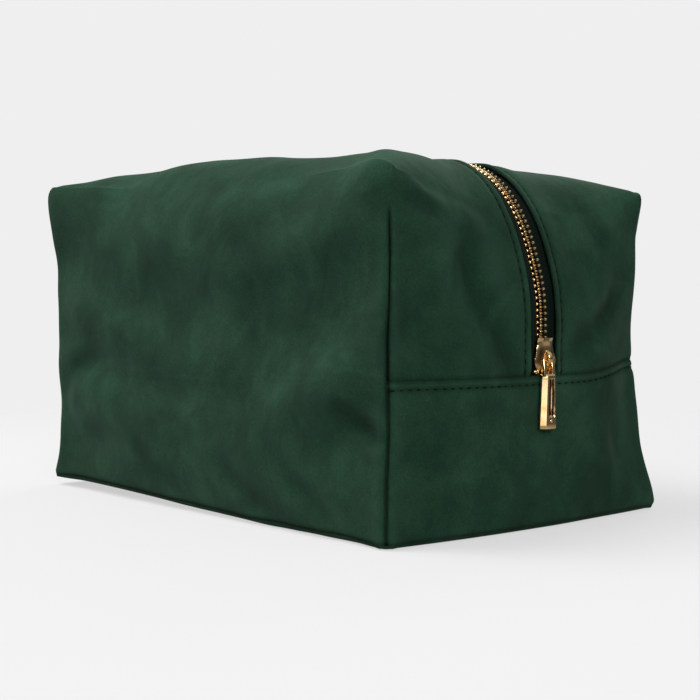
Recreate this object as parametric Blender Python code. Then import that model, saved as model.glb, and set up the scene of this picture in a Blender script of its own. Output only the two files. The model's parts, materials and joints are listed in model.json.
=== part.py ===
"""Soft boxy makeup bag with a metal zip over its top and down the middle of both ends.

Metres, +Z up, +X along the bag towards the closed slider, -Y the front side.
The origin is the middle of the base, on the surface that the bag stands on.
"""
import math

import bmesh
import bpy

# Overall sizes
LENGTH = 0.240            # corner to corner along X
WIDTH = 0.165             # across Y
HEIGHT = 0.148            # base to the flat top
END_BULGE = 0.0045        # how far the middle of each end stands out past its corners
CORNER_RADIUS = 0.010     # upright corners, in plan
SEAM_HEIGHT = 0.062       # end seam, where the zip legs stop

# Layers of the walls, from outside to inside
SHELL = 0.0012            # suede
PADDING = 0.0020          # foam
LINING = 0.0006           # lining cloth
BOARD = 0.0015            # base stiffener
GAP = 0.0003              # clearance between pieces that touch

# Zip, size 5 metal chain
WINDOW = 0.017            # opening between the two folded cloth edges
TAPE_WIDTH = 0.0135       # each tape, from its bead outwards
TAPE = 0.0006
TOOTH_PITCH = 0.0025      # along one row
TOOTH_WIDTH = 0.0009      # along the chain
TOOTH_DEPTH = 0.0026      # across the tape's thickness
BEAD_OUT = 0.0030         # outer edge of a row, from the zip's centre line
BEAD_IN = 0.0012          # where the bead ends and the teeth begin
TOOTH_REACH = 0.0006      # how far a tooth passes the centre line
STOP_HEIGHT = 0.0022
TOP_END_SETBACK = 0.008   # the rows leave the rounded top end free

# Slider and pull
SLIDER_LENGTH = 0.0142
SLIDER_WIDTH_LOW = 0.0102
SLIDER_WIDTH_HIGH = 0.0076
SLIDER_PLATE = 0.0011
SLIDER_SLOT = 0.0034      # room for the teeth between the two plates
SLIDER_POST = 0.0024
SLIDER_LIFT = 0.0010      # slider foot above the end seam
BRIDGE_HALF = 0.0034      # arch, along Z from its middle
BRIDGE_WIDTH = 0.0020
BRIDGE_THICK = 0.0009
BRIDGE_RISE = 0.0022      # free height under the arch
BRIDGE_MIDDLE = 0.0062    # arch middle above the slider's foot
PULL_BAR = 0.0013         # cross bar under the arch
PULL_CLEAR = 0.00045      # around the cross bar and the arch
PULL_LENGTH = 0.0285      # hinge to the free end
PULL_WIDTH_HIGH = 0.0062
PULL_WIDTH_LOW = 0.0076
PULL_THICK = 0.0030
PULL_ROUND = 0.8          # width of its raised middle, as a share of its own
PULL_RIM = 0.0006         # its free end past the raised middle

# Slip pocket on the back lining
POCKET_LENGTH = 0.150
POCKET_HEIGHT = 0.048
POCKET_FOOT = 0.009

ARC_STEPS = 4
END_STEPS = 9

# Depths below the outer face at which each layer starts
PADDING_INSET = SHELL + GAP
LINING_INSET = PADDING_INSET + PADDING + GAP
LINED_DEPTH = LINING_INSET + LINING
TAPE_INSET = SHELL + GAP
TOOTH_MIDDLE_INSET = TAPE_INSET + TAPE / 2
WALL_FOOT = SHELL + GAP
INNER_FOOT = WALL_FOOT + BOARD + GAP + LINING + GAP
END_FACE = LENGTH / 2 + END_BULGE
CORNER_END = 360 - math.degrees(math.atan(2 * END_BULGE / (WIDTH / 2 - CORNER_RADIUS)))
TAPE_EDGE = BEAD_OUT + GAP + TAPE_WIDTH
LINING_EDGE = SLIDER_WIDTH_LOW / 2 + 2 * GAP
LEG_SINK = END_BULGE * (TAPE_EDGE / (WIDTH / 2 - CORNER_RADIUS)) ** 2
LEG_MIDDLE = END_FACE - LEG_SINK - TOOTH_MIDDLE_INSET

COLOURS = {
    "suede": ((0.018, 0.045, 0.027, 1), 0.95, 0.0),
    "padding": ((0.55, 0.55, 0.52, 1), 0.9, 0.0),
    "lining": ((0.010, 0.022, 0.014, 1), 0.6, 0.0),
    "board": ((0.32, 0.30, 0.26, 1), 0.8, 0.0),
    "tape": ((0.008, 0.014, 0.010, 1), 0.85, 0.0),
    "gold": ((0.72, 0.52, 0.25, 1), 0.28, 1.0),
}


def clear_scene():
    """Remove what the start-up file holds."""
    for obj in list(bpy.data.objects):
        bpy.data.objects.remove(obj, do_unlink=True)


def material(name):
    """The Principled material of one finish."""
    found = bpy.data.materials.get(name)
    if found:
        return found
    colour, roughness, metallic = COLOURS[name]
    made = bpy.data.materials.new(name)
    made.use_nodes = True
    shader = made.node_tree.nodes["Principled BSDF"]
    shader.inputs["Base Color"].default_value = colour
    shader.inputs["Roughness"].default_value = roughness
    shader.inputs["Metallic"].default_value = metallic
    made.diffuse_color = colour
    return made


def add(obj, finish, parts):
    """Link a finished object and give it its material."""
    parts.objects.link(obj)
    obj.data.materials.clear()
    obj.data.materials.append(material(finish))
    return obj


def prism(name, outline, low, high, finish, parts):
    """A flat outline in X and Y, extruded from height low to height high."""
    curve = bpy.data.curves.new(name, "CURVE")
    curve.dimensions = "2D"
    curve.fill_mode = "BOTH"
    curve.extrude = (high - low) / 2
    spline = curve.splines.new("POLY")
    spline.points.add(len(outline) - 1)
    for point, (x, y) in zip(spline.points, outline):
        point.co = (x, y, 0, 1)
    spline.use_cyclic_u = True
    obj = bpy.data.objects.new(name, curve)
    obj.location.z = (low + high) / 2
    return add(obj, finish, parts)


def turn_upright(obj, facing):
    """Stand a prism up: outline X becomes world Y, outline Y becomes world Z, height becomes X."""
    height = obj.location.z
    obj.location = (height * facing, 0, 0)
    obj.rotation_euler = (math.pi / 2, 0, math.pi / 2)
    return obj


def arc(centre_x, centre_y, radius, start, stop, steps=ARC_STEPS):
    """Points on an arc, both ends included, angles in degrees."""
    points = []
    for i in range(steps + 1):
        angle = math.radians(start + (stop - start) * i / steps)
        points.append((centre_x + radius * math.cos(angle), centre_y + radius * math.sin(angle)))
    return points


def end_line(inset, y_edge):
    """Points on the bulged right end, at a depth under its face, past the front corner."""
    straight = WIDTH / 2 - CORNER_RADIUS
    points = []
    for i in range(1, END_STEPS + 1):
        y = -straight + (y_edge + straight) * i / END_STEPS
        bulge = END_BULGE * (1 - (y / straight) ** 2)
        points.append((LENGTH / 2 - inset + bulge, y))
    return points


def quarter(inset, y_edge):
    """Front right quarter of the plan outline, from the front's middle to the end at y_edge."""
    radius = CORNER_RADIUS - inset
    middle_x = LENGTH / 2 - CORNER_RADIUS
    middle_y = -WIDTH / 2 + CORNER_RADIUS
    corner = arc(middle_x, middle_y, radius, 270, CORNER_END)
    return corner + end_line(inset, y_edge)


def mirror_x(points):
    """The same outline on the other side of the X middle, still counterclockwise."""
    return [(-x, y) for x, y in reversed(points)]


def mirror_y(points):
    """The same outline on the other side of the Y middle, still counterclockwise."""
    return [(x, -y) for x, y in reversed(points)]


def half_plate(inset, y_edge):
    """Closed outline of the front half of a level layer."""
    side = quarter(inset, y_edge)
    return side + mirror_x(side)


def whole_plate(inset):
    """Closed outline of a level layer over the whole plan."""
    half = quarter(inset, 0.0)[:-1]
    right = half + [(END_FACE - inset, 0.0)] + mirror_y(half)
    return right + [(-x, -y) for x, y in right]


def u_wall(inset, thickness, y_edge):
    """Closed outline of a wall round the front and both upper half ends."""
    outer = quarter(inset, y_edge)
    inner = quarter(inset + thickness, y_edge)
    outer = mirror_x(outer) + outer
    inner = mirror_x(inner) + inner
    return outer + inner[::-1]


def front_wall(inset, thickness):
    """Closed outline of the straight front wall up to the middle of its corners."""
    cut = 315 - math.degrees(GAP / CORNER_RADIUS)
    middle_x = LENGTH / 2 - CORNER_RADIUS
    middle_y = -WIDTH / 2 + CORNER_RADIUS
    outer = arc(middle_x, middle_y, CORNER_RADIUS - inset, 270, cut)
    inner = arc(middle_x, middle_y, CORNER_RADIUS - inset - thickness, 270, cut)
    outer = mirror_x(outer) + outer
    inner = mirror_x(inner) + inner
    return outer + inner[::-1]


def end_wall(inset, thickness):
    """Closed outline of the bulged right end wall up to the middle of its corners."""
    cut = 315 + math.degrees(GAP / CORNER_RADIUS)
    middle_x = LENGTH / 2 - CORNER_RADIUS
    middle_y = -WIDTH / 2 + CORNER_RADIUS
    outlines = []
    for depth in (inset, inset + thickness):
        corner = arc(middle_x, middle_y, CORNER_RADIUS - depth, cut, CORNER_END)
        half = corner + end_line(depth, 0.0)
        outlines.append(half[:-1] + mirror_y(half))
    outer, inner = outlines
    return outer + inner[::-1]


def comb(start, stop, phase):
    """Outline of a row of teeth: along the first axis, the bead on the second axis's low side."""
    count = int((stop - start - TOOTH_WIDTH) / TOOTH_PITCH - phase) + 1
    points = [(start, -BEAD_OUT), (stop, -BEAD_OUT), (stop, -BEAD_IN)]
    for i in reversed(range(count)):
        low = start + (i + phase) * TOOTH_PITCH + GAP
        high = low + TOOTH_WIDTH
        points += [(high, -BEAD_IN), (high, TOOTH_REACH), (low, TOOTH_REACH), (low, -BEAD_IN)]
    points.append((start, -BEAD_IN))
    return points


def base(parts):
    """The base: shell, stiffener and the lining over it."""
    prism("base_panel", whole_plate(0.0), 0.0, SHELL, "suede", parts)
    board_top = WALL_FOOT + BOARD
    prism("base_board", whole_plate(PADDING_INSET), WALL_FOOT, board_top, "board", parts)
    lining_foot = board_top + GAP
    prism("base_lining", whole_plate(PADDING_INSET), lining_foot, lining_foot + LINING,
          "lining", parts)


def lower_walls(parts):
    """The rigid lower walls, below the end seam: shell, padding and lining on four sides."""
    layers = (
        ("panel", 0.0, SHELL, WALL_FOOT, "suede"),
        ("padding", PADDING_INSET, PADDING, INNER_FOOT, "padding"),
        ("lining", LINING_INSET, LINING, INNER_FOOT, "lining"),
    )
    for layer, inset, thickness, foot, finish in layers:
        front = front_wall(inset, thickness)
        right = end_wall(inset, thickness)
        top = SEAM_HEIGHT
        if layer == "padding":
            top = SEAM_HEIGHT - STOP_HEIGHT - 2 * GAP
        prism(f"front_{layer}", front, foot, SEAM_HEIGHT, finish, parts)
        prism(f"back_{layer}", mirror_y(front), foot, SEAM_HEIGHT, finish, parts)
        prism(f"right_end_{layer}", right, foot, top, finish, parts)
        prism(f"left_end_{layer}", mirror_x(right), foot, top, finish, parts)


def upper_walls(parts):
    """The soft upper walls: each half's side and both its half ends in one piece."""
    layers = (
        ("panel", 0.0, SHELL, "suede", WINDOW / 2, SHELL + GAP),
        ("padding", PADDING_INSET, PADDING, "padding", TAPE_EDGE + GAP, LINING_INSET),
        ("lining", LINING_INSET, LINING, "lining", LINING_EDGE, LINED_DEPTH + GAP),
    )
    for layer, inset, thickness, finish, edge, below_top in layers:
        wall = u_wall(inset, thickness, -edge)
        low = SEAM_HEIGHT + GAP
        high = HEIGHT - below_top
        prism(f"front_upper_{layer}", wall, low, high, finish, parts)
        prism(f"back_upper_{layer}", mirror_y(wall), low, high, finish, parts)


def tops(parts):
    """The two halves of the top, each hinged with its half of the bag."""
    layers = (
        ("panel", 0.0, 0.0, SHELL, "suede", WINDOW / 2),
        ("padding", PADDING_INSET, PADDING_INSET, PADDING, "padding", TAPE_EDGE + GAP),
        ("lining", LINING_INSET, LINING_INSET, LINING, "lining", LINING_EDGE),
    )
    for layer, inset, depth, thickness, finish, edge in layers:
        plate = half_plate(inset, -edge)
        high = HEIGHT - depth
        prism(f"front_top_{layer}", plate, high - thickness, high, finish, parts)
        prism(f"back_top_{layer}", mirror_y(plate), high - thickness, high, finish, parts)


def flat_strip(x_low, x_high, y_low, y_high):
    """Closed outline of a rectangle."""
    return [(x_low, y_low), (x_high, y_low), (x_high, y_high), (x_low, y_high)]


def zip_top(parts):
    """Tape and teeth along the top."""
    reach = END_FACE - TOP_END_SETBACK
    tape_high = HEIGHT - TAPE_INSET
    tape = flat_strip(-reach, reach, -TAPE_EDGE, -BEAD_OUT - GAP)
    prism("front_top_tape", tape, tape_high - TAPE, tape_high, "tape", parts)
    prism("back_top_tape", mirror_y(tape), tape_high - TAPE, tape_high, "tape", parts)
    middle = HEIGHT - TOOTH_MIDDLE_INSET
    low = middle - TOOTH_DEPTH / 2
    high = middle + TOOTH_DEPTH / 2
    prism("front_top_teeth", comb(-reach, reach, 0.0), low, high, "gold", parts)
    prism("back_top_teeth", mirror_y(comb(-reach, reach, 0.5)), low, high, "gold", parts)


def zip_legs(parts):
    """Tape, teeth and stops down both ends. The right row starts above the slider."""
    high = HEIGHT - TOOTH_DEPTH - TAPE_INSET - GAP
    low = SEAM_HEIGHT + GAP
    above_slider = SEAM_HEIGHT + SLIDER_LIFT + SLIDER_LENGTH + GAP
    for end, facing, teeth_low in (("right", 1, above_slider), ("left", -1, low)):
        for half, phase in (("front", 0.0), ("back", 0.5)):
            strip = flat_strip(-TAPE_EDGE, -BEAD_OUT - GAP, low, high)
            row = [(y, z) for z, y in comb(teeth_low, high, phase)][::-1]
            if half == "back":
                strip = mirror_x(strip)
                row = mirror_x(row)
            for kind, outline, thick, finish in (
                ("tape", strip, TAPE, "tape"),
                ("teeth", row, TOOTH_DEPTH, "gold"),
            ):
                made = prism(f"{half}_{end}_{kind}", outline, LEG_MIDDLE - thick / 2,
                             LEG_MIDDLE + thick / 2, finish, parts)
                turn_upright(made, facing)
        stop = flat_strip(-BEAD_OUT, BEAD_OUT, SEAM_HEIGHT - STOP_HEIGHT - GAP, SEAM_HEIGHT - GAP)
        made = prism(f"{end}_zip_stop", stop, END_FACE - PADDING_INSET - PADDING,
                     END_FACE - PADDING_INSET, "gold", parts)
        turn_upright(made, facing)


def join(obj, other):
    """Boolean union of other into obj, with other made a cutter that is left out."""
    union = obj.modifiers.new("join", "BOOLEAN")
    union.operation = "UNION"
    union.solver = "EXACT"
    union.object = other


def box(name, low, high):
    """A box between two corners, its mesh in world place."""
    mesh = bpy.data.meshes.new(name)
    work = bmesh.new()
    bmesh.ops.create_cube(work, size=1.0)
    size = [b - a for a, b in zip(low, high)]
    middle = [(a + b) / 2 for a, b in zip(low, high)]
    bmesh.ops.scale(work, vec=size, verts=work.verts)
    bmesh.ops.translate(work, vec=middle, verts=work.verts)
    work.to_mesh(mesh)
    work.free()
    return bpy.data.objects.new(name, mesh)


def cutter(obj, cutters):
    """Keep an object only as the other side of a boolean."""
    cutters.objects.link(obj)
    obj.hide_render = True
    obj.display_type = "WIRE"
    return obj


def taper(obj, z_low, z_high, low_scale, high_scale):
    """Scale a mesh across Y, from one factor at z_low to another at z_high."""
    for vertex in obj.data.vertices:
        share = (vertex.co.z - z_low) / (z_high - z_low)
        vertex.co.y *= low_scale + (high_scale - low_scale) * share


def slider(parts, cutters):
    """Two tapered plates on a post, with a hinge arch on the outer plate."""
    foot = SEAM_HEIGHT + SLIDER_LIFT
    head = foot + SLIDER_LENGTH
    middle = LEG_MIDDLE
    half_slot = SLIDER_SLOT / 2
    wide = SLIDER_WIDTH_LOW / 2
    body = box("slider_body", (middle + half_slot, -wide, foot),
               (middle + half_slot + SLIDER_PLATE, wide, head))
    taper(body, foot, head, 1.0, SLIDER_WIDTH_HIGH / SLIDER_WIDTH_LOW)
    add(body, "gold", parts)
    inner = box("slider_inner_plate", (middle - half_slot - SLIDER_PLATE, -wide, foot),
                (middle - half_slot, wide, head))
    taper(inner, foot, head, 1.0, SLIDER_WIDTH_HIGH / SLIDER_WIDTH_LOW)
    sunk = SLIDER_PLATE / 2
    post = box("slider_post", (middle - half_slot - sunk, -SLIDER_POST / 2, foot + sunk),
               (middle + half_slot + sunk, SLIDER_POST / 2, foot + SLIDER_LENGTH / 2))
    join(body, cutter(inner, cutters))
    join(body, cutter(post, cutters))
    return foot, middle + half_slot + SLIDER_PLATE


def bridge(parts, cutters, foot, face):
    """The arch: a block less the room under it."""
    middle = foot + BRIDGE_MIDDLE
    half = BRIDGE_WIDTH / 2
    out = face + GAP + BRIDGE_RISE + BRIDGE_THICK
    arch = box("slider_bridge", (face + GAP, -half, middle - BRIDGE_HALF),
               (out, half, middle + BRIDGE_HALF))
    add(arch, "gold", parts)
    room = box("bridge_room", (face - GAP, -BRIDGE_WIDTH, middle - BRIDGE_HALF + BRIDGE_THICK),
               (out - BRIDGE_THICK, BRIDGE_WIDTH, middle + BRIDGE_HALF - BRIDGE_THICK))
    cut = arch.modifiers.new("room", "BOOLEAN")
    cut.operation = "DIFFERENCE"
    cut.solver = "EXACT"
    cut.object = cutter(room, cutters)
    return middle


def pull(parts, cutters, pivot_z, face):
    """The bar pull, its origin on the hinge axis, with an eye round the arch's leg."""
    pivot_x = face + GAP + PULL_CLEAR + PULL_BAR / 2
    arch_out = face + GAP + BRIDGE_RISE + BRIDGE_THICK - pivot_x
    reach = math.hypot(BRIDGE_HALF, arch_out) + PULL_CLEAR
    eye = BRIDGE_WIDTH / 2 + PULL_CLEAR
    half_bar = PULL_BAR / 2
    wide = PULL_WIDTH_LOW / 2
    tab = box("pull_tab", (-half_bar, -wide, -PULL_LENGTH), (half_bar, wide, half_bar))
    taper(tab, -PULL_LENGTH, half_bar, 1.0, PULL_WIDTH_HIGH / PULL_WIDTH_LOW)
    tab.location = (pivot_x, 0, pivot_z)
    add(tab, "gold", parts)
    bar_top = -reach - PULL_CLEAR - half_bar
    sunk = half_bar / 2
    round_half = wide * PULL_ROUND
    bar = box("pull_round", (sunk, -round_half, PULL_RIM - PULL_LENGTH),
              (PULL_THICK - half_bar, round_half, bar_top))
    hole = box("pull_eye", (-PULL_THICK, -eye, -reach), (PULL_THICK, eye, -half_bar))
    for piece in (bar, hole):
        piece.location = tab.location
    join(tab, cutter(bar, cutters))
    cut = tab.modifiers.new("eye", "BOOLEAN")
    cut.operation = "DIFFERENCE"
    cut.solver = "EXACT"
    cut.object = cutter(hole, cutters)


def pocket(parts):
    """The slip pocket, flat on the back lining."""
    inner = WIDTH / 2 - LINED_DEPTH - GAP
    half = POCKET_LENGTH / 2
    outline = flat_strip(-half, half, inner - LINING, inner)
    prism("slip_pocket", outline, POCKET_FOOT, POCKET_FOOT + POCKET_HEIGHT, "lining", parts)


def main():
    """Build every part in its collection."""
    clear_scene()
    parts = bpy.data.collections.new("makeup_bag")
    cutters = bpy.data.collections.new("cutters")
    bpy.context.scene.collection.children.link(parts)
    bpy.context.scene.collection.children.link(cutters)
    base(parts)
    lower_walls(parts)
    upper_walls(parts)
    tops(parts)
    zip_top(parts)
    zip_legs(parts)
    pocket(parts)
    foot, face = slider(parts, cutters)
    pivot_z = bridge(parts, cutters, foot, face)
    pull(parts, cutters, pivot_z, face)


main()
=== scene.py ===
"""Looks of a soft, boxy makeup bag: microsuede shell, metal zip, slider and bar pull, lining.

Everything is in metres in the frame's own axes: +X towards the end with the closed slider, -Y the
front side, +Z up from the surface that the bag stands on. The cloth is one soft form: a sharp box
is cut into panels along its real seams, rounded, bulged and creased, and then given a thickness.
"""
from __future__ import annotations

import json
import logging
import math
from dataclasses import dataclass
from enum import Enum
from typing import Callable, Iterable, Sequence

import bmesh
import bpy
from mathutils import Matrix, Vector, kdtree, noise
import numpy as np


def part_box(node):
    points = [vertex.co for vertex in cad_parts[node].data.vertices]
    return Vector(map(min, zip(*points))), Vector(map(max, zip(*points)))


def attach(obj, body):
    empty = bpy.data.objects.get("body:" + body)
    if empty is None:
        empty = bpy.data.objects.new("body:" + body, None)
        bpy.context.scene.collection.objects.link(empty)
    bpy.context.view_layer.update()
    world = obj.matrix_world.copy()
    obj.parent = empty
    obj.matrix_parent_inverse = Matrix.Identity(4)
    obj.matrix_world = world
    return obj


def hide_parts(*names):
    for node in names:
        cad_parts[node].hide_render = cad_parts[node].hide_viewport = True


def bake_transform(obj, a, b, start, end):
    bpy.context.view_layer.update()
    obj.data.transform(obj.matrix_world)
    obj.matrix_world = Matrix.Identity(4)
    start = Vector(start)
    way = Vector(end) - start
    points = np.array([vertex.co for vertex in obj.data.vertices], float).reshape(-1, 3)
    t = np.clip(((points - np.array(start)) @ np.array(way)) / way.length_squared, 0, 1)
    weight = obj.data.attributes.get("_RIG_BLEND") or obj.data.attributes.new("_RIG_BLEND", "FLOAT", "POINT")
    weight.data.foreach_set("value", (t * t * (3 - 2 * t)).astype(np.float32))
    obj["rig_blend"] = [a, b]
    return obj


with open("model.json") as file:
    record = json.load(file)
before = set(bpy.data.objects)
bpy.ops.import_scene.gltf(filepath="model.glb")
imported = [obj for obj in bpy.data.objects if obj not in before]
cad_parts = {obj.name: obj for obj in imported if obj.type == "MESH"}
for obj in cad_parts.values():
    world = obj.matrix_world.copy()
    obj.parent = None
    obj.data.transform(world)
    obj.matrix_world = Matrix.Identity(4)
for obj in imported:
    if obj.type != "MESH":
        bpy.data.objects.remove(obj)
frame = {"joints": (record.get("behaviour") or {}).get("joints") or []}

LOG = logging.getLogger("makeup_bag")
MM = 0.001
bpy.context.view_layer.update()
ROOT = "bag_body"
ON_FACE = 1e-5  # how near a place is to a face of the sharp box to count as on it
PAINTED_RECESS_SHADE = "painted_recess_shade"  # vertex attribute: painted brown shade in a recess of the metal, 0 to 1
PAINTED_SHADE_LAYER = "nap_lay"  # vertex attribute of painted light on the cloth: from -1, a painted highlight on ridges, to 1, painted shade in seams and creases
WAVE_PERIOD = 0.314  # metres from band to band of a Wave texture at a scale of 1


def smooth(value: float, low: float, high: float) -> float:
    """A smooth step from 0 at low to 1 at high."""
    share = min(max((value - low) / (high - low), 0.0), 1.0)
    return share * share * (3 - 2 * share)


def bell(distance: float, width: float) -> float:
    """A bell curve: 1 at no distance, falling over about one width."""
    return math.exp(-((distance / width) ** 2))


class Half(Enum):
    """The two halves of the bag that the zip joins, by their side of the zip."""

    FRONT = -1
    BACK = 1

    @property
    def word(self) -> str:
        """The half's name in node names."""
        return self.name.lower()


class End(Enum):
    """The two ends of the bag, by their side of the middle."""

    LEFT = -1
    RIGHT = 1

    @property
    def word(self) -> str:
        """The end's name in node names."""
        return self.name.lower()


# ---------------------------------------------------------------------------
# Finishes
# ---------------------------------------------------------------------------


def linear(code: str) -> tuple[float, float, float, float]:
    """An sRGB hex colour as linear light.

    Args:
        code: Six hex digits, with or without a leading hash.

    Returns:
        Red, green, blue and an alpha of 1.
    """
    code = code.lstrip("#")
    parts = [int(code[i:i + 2], 16) / 255 for i in (0, 2, 4)]
    light = [c / 12.92 if c <= 0.04045 else ((c + 0.055) / 1.055) ** 2.4 for c in parts]
    return (*light, 1.0)


def open_input(made: bpy.types.Node, name: str | int) -> bpy.types.NodeSocket:
    """A node's input by number, or the one by that name that is in use."""
    if isinstance(name, int):
        return made.inputs[name]
    return next(s for s in made.inputs if s.name == name and s.enabled)


def add_node(tree: bpy.types.NodeTree, kind: str, settings: dict | None = None,
             links: dict | None = None) -> bpy.types.Node:
    """Add one node with its settings and incoming links.

    Args:
        tree: The node tree.
        kind: The node's type name without the ShaderNode prefix.
        settings: Attribute names, or input names or numbers, and their values.
        links: Input names or numbers and the output sockets that feed them.

    Returns:
        The new node.
    """
    made = tree.nodes.new(f"ShaderNode{kind}")
    for name, value in (settings or {}).items():
        if isinstance(name, str) and hasattr(made, name):
            setattr(made, name, value)
        else:
            open_input(made, name).default_value = value
    for name, socket in (links or {}).items():
        tree.links.new(socket, open_input(made, name))
    return made


def ramp(tree: bpy.types.NodeTree, factor: bpy.types.NodeSocket,
         stops: Sequence[tuple[float, tuple]], span: float = 1.0) -> bpy.types.NodeSocket:
    """A colour ramp fed by factor.

    Args:
        tree: The node tree.
        factor: The socket that drives the ramp.
        stops: Places, from 0 to span, and linear colours.
        span: The factor's value at the ramp's far end.

    Returns:
        The ramp's colour socket.
    """
    share = add_node(tree, "Math", {"operation": "DIVIDE", 1: span}, {0: factor})
    made = add_node(tree, "ValToRGB", links={"Fac": share.outputs[0]})
    band = made.color_ramp
    while len(band.elements) < len(stops):
        band.elements.new(0.5)
    for element, (place, colour) in zip(band.elements, stops):
        element.position = place / span
        element.color = colour
    return made.outputs["Color"]


class Finish:
    """A finish that makes its material once and gives it to pieces."""

    name = "finish"
    slot_name = ""

    def material(self) -> bpy.types.Material:
        """The finish's material, made the first time it is asked for.

        Returns:
            The material, with its nodes.
        """
        found = bpy.data.materials.get(self.name)
        if found:
            return found
        made = bpy.data.materials.new(self.name)
        made.use_nodes = True
        tree = made.node_tree
        shader = tree.nodes["Principled BSDF"]
        self.dress(tree, shader)
        return made

    def dress(self, tree: bpy.types.NodeTree, shader: bpy.types.Node) -> None:
        """Fill the node tree around its Principled shader.

        Args:
            tree: The material's node tree.
            shader: Its Principled shader.
        """

    def give(self, piece: bpy.types.Object) -> None:
        """Put the finish on every slot of a piece.

        Args:
            piece: The piece.
        """
        if not piece.data.materials:
            piece.data.materials.append(None)
        for index in range(len(piece.data.materials)):
            piece.data.materials[index] = self.material()


@dataclass(frozen=True)
class Microsuede(Finish):
    """Brushed polyester microsuede. Its short nap lies in patches and strokes of slightly lighter and
    darker green, its fibre tips catch light at grazing angles, and painted shade darkens it in seams and
    creases, with a painted highlight on the ridges beside them."""

    name: str = "brushed_microsuede"
    slot_name: str = "suede"
    deep: str = "11281b"
    middle: str = "193425"
    light: str = "244332"
    # painted shade in seams and creases
    painted_seam_shade: str = "030a06"
    # painted highlight on the ridges beside seams and creases
    raised: str = "2d4c3d"
    patch_mm: float = 26.0
    stroke_mm: float = 9.0
    swirl_mm: float = 60.0
    fibre_mm: float = 0.8

    def dress(self, tree: bpy.types.NodeTree, shader: bpy.types.Node) -> None:
        """Nap patches, brush strokes and fibre tips on a rough, sheened cloth, with painted shade and
        highlight from a vertex attribute.

        Args:
            tree: The material's node tree.
            shader: Its Principled shader.
        """
        place = add_node(tree, "TexCoord").outputs["Object"]
        patches = add_node(tree, "TexNoise", {"Scale": 1 / (self.patch_mm * MM), "Detail": 4.0,
                           "Roughness": 0.55, "Distortion": 0.5}, {"Vector": place})
        swirl = add_node(tree, "TexNoise", {"Scale": 1 / (self.swirl_mm * MM), "Detail": 1.0},
                         {"Vector": place})
        drift = add_node(tree, "VectorMath", {"operation": "MULTIPLY_ADD", 1: (0.05, 0.05, 0.05)},
                         {0: swirl.outputs["Color"], 2: place})
        stretch = add_node(tree, "Mapping", {"Rotation": (0.5, 0.6, 0.0), "Scale": (1.0, 1.0, 0.65)},
                           {"Vector": drift.outputs[0]})
        strokes = add_node(tree, "TexNoise", {"Scale": 1 / (self.stroke_mm * MM), "Detail": 5.0,
                           "Roughness": 0.62, "Distortion": 0.4}, {"Vector": stretch.outputs[0]})
        fibre = add_node(tree, "TexNoise", {"Scale": 1 / (self.fibre_mm * MM), "Detail": 2.0,
                         "Roughness": 0.7}, {"Vector": place})
        brushed = add_node(tree, "Math", {"operation": "MULTIPLY_ADD", 1: 0.45},
                           {0: strokes.outputs["Fac"], 2: patches.outputs["Fac"]})
        tips = add_node(tree, "Math", {"operation": "MULTIPLY_ADD", 1: 0.60},
                        {0: fibre.outputs["Fac"], 2: brushed.outputs[0]})
        colour = ramp(tree, tips.outputs[0], ((0.74, linear(self.deep)), (1.02, linear(self.middle)),
                                              (1.34, linear(self.light))), span=1.5)
        # Painted shade and painted highlight from the vertex attribute: dark in seams and creases, pale on
        # ridges.
        painted_shading = add_node(tree, "Attribute", {"attribute_name": PAINTED_SHADE_LAYER}).outputs["Fac"]
        dark = add_node(tree, "Mix", {"data_type": "RGBA", "B": linear(self.painted_seam_shade)},
                        {"Factor": painted_shading, "A": colour})
        lift = add_node(tree, "Math", {"operation": "MULTIPLY", 1: -1.0, "use_clamp": True}, {0: painted_shading})
        pale = add_node(tree, "Mix", {"data_type": "RGBA", "B": linear(self.raised)},
                        {"Factor": lift.outputs[0], "A": dark.outputs["Result"]})
        tree.links.new(pale.outputs["Result"], shader.inputs["Base Color"])
        shader.inputs["Roughness"].default_value = 0.95
        shader.inputs["Specular IOR Level"].default_value = 0.10
        # The sheen fades where the painted shade is, so that seams and creases stay dark.
        upright = add_node(tree, "MapRange", {"From Min": -0.3, "From Max": 0.5, "To Min": 0.17,
                           "To Max": 0.0}, {"Value": painted_shading})
        tree.links.new(upright.outputs[0], shader.inputs["Sheen Weight"])
        shader.inputs["Sheen Roughness"].default_value = 0.50
        shader.inputs["Sheen Tint"].default_value = linear("9dbca8")
        nap_and_shade = add_node(tree, "Bump", {"Strength": 0.22, "Distance": 0.3 * MM},
                       {"Height": fibre.outputs["Fac"]})
        brush = add_node(tree, "Bump", {"Strength": 0.25, "Distance": 1.2 * MM},
                         {"Height": strokes.outputs["Fac"], "Normal": nap_and_shade.outputs[0]})
        tree.links.new(brush.outputs[0], shader.inputs["Normal"])


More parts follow.
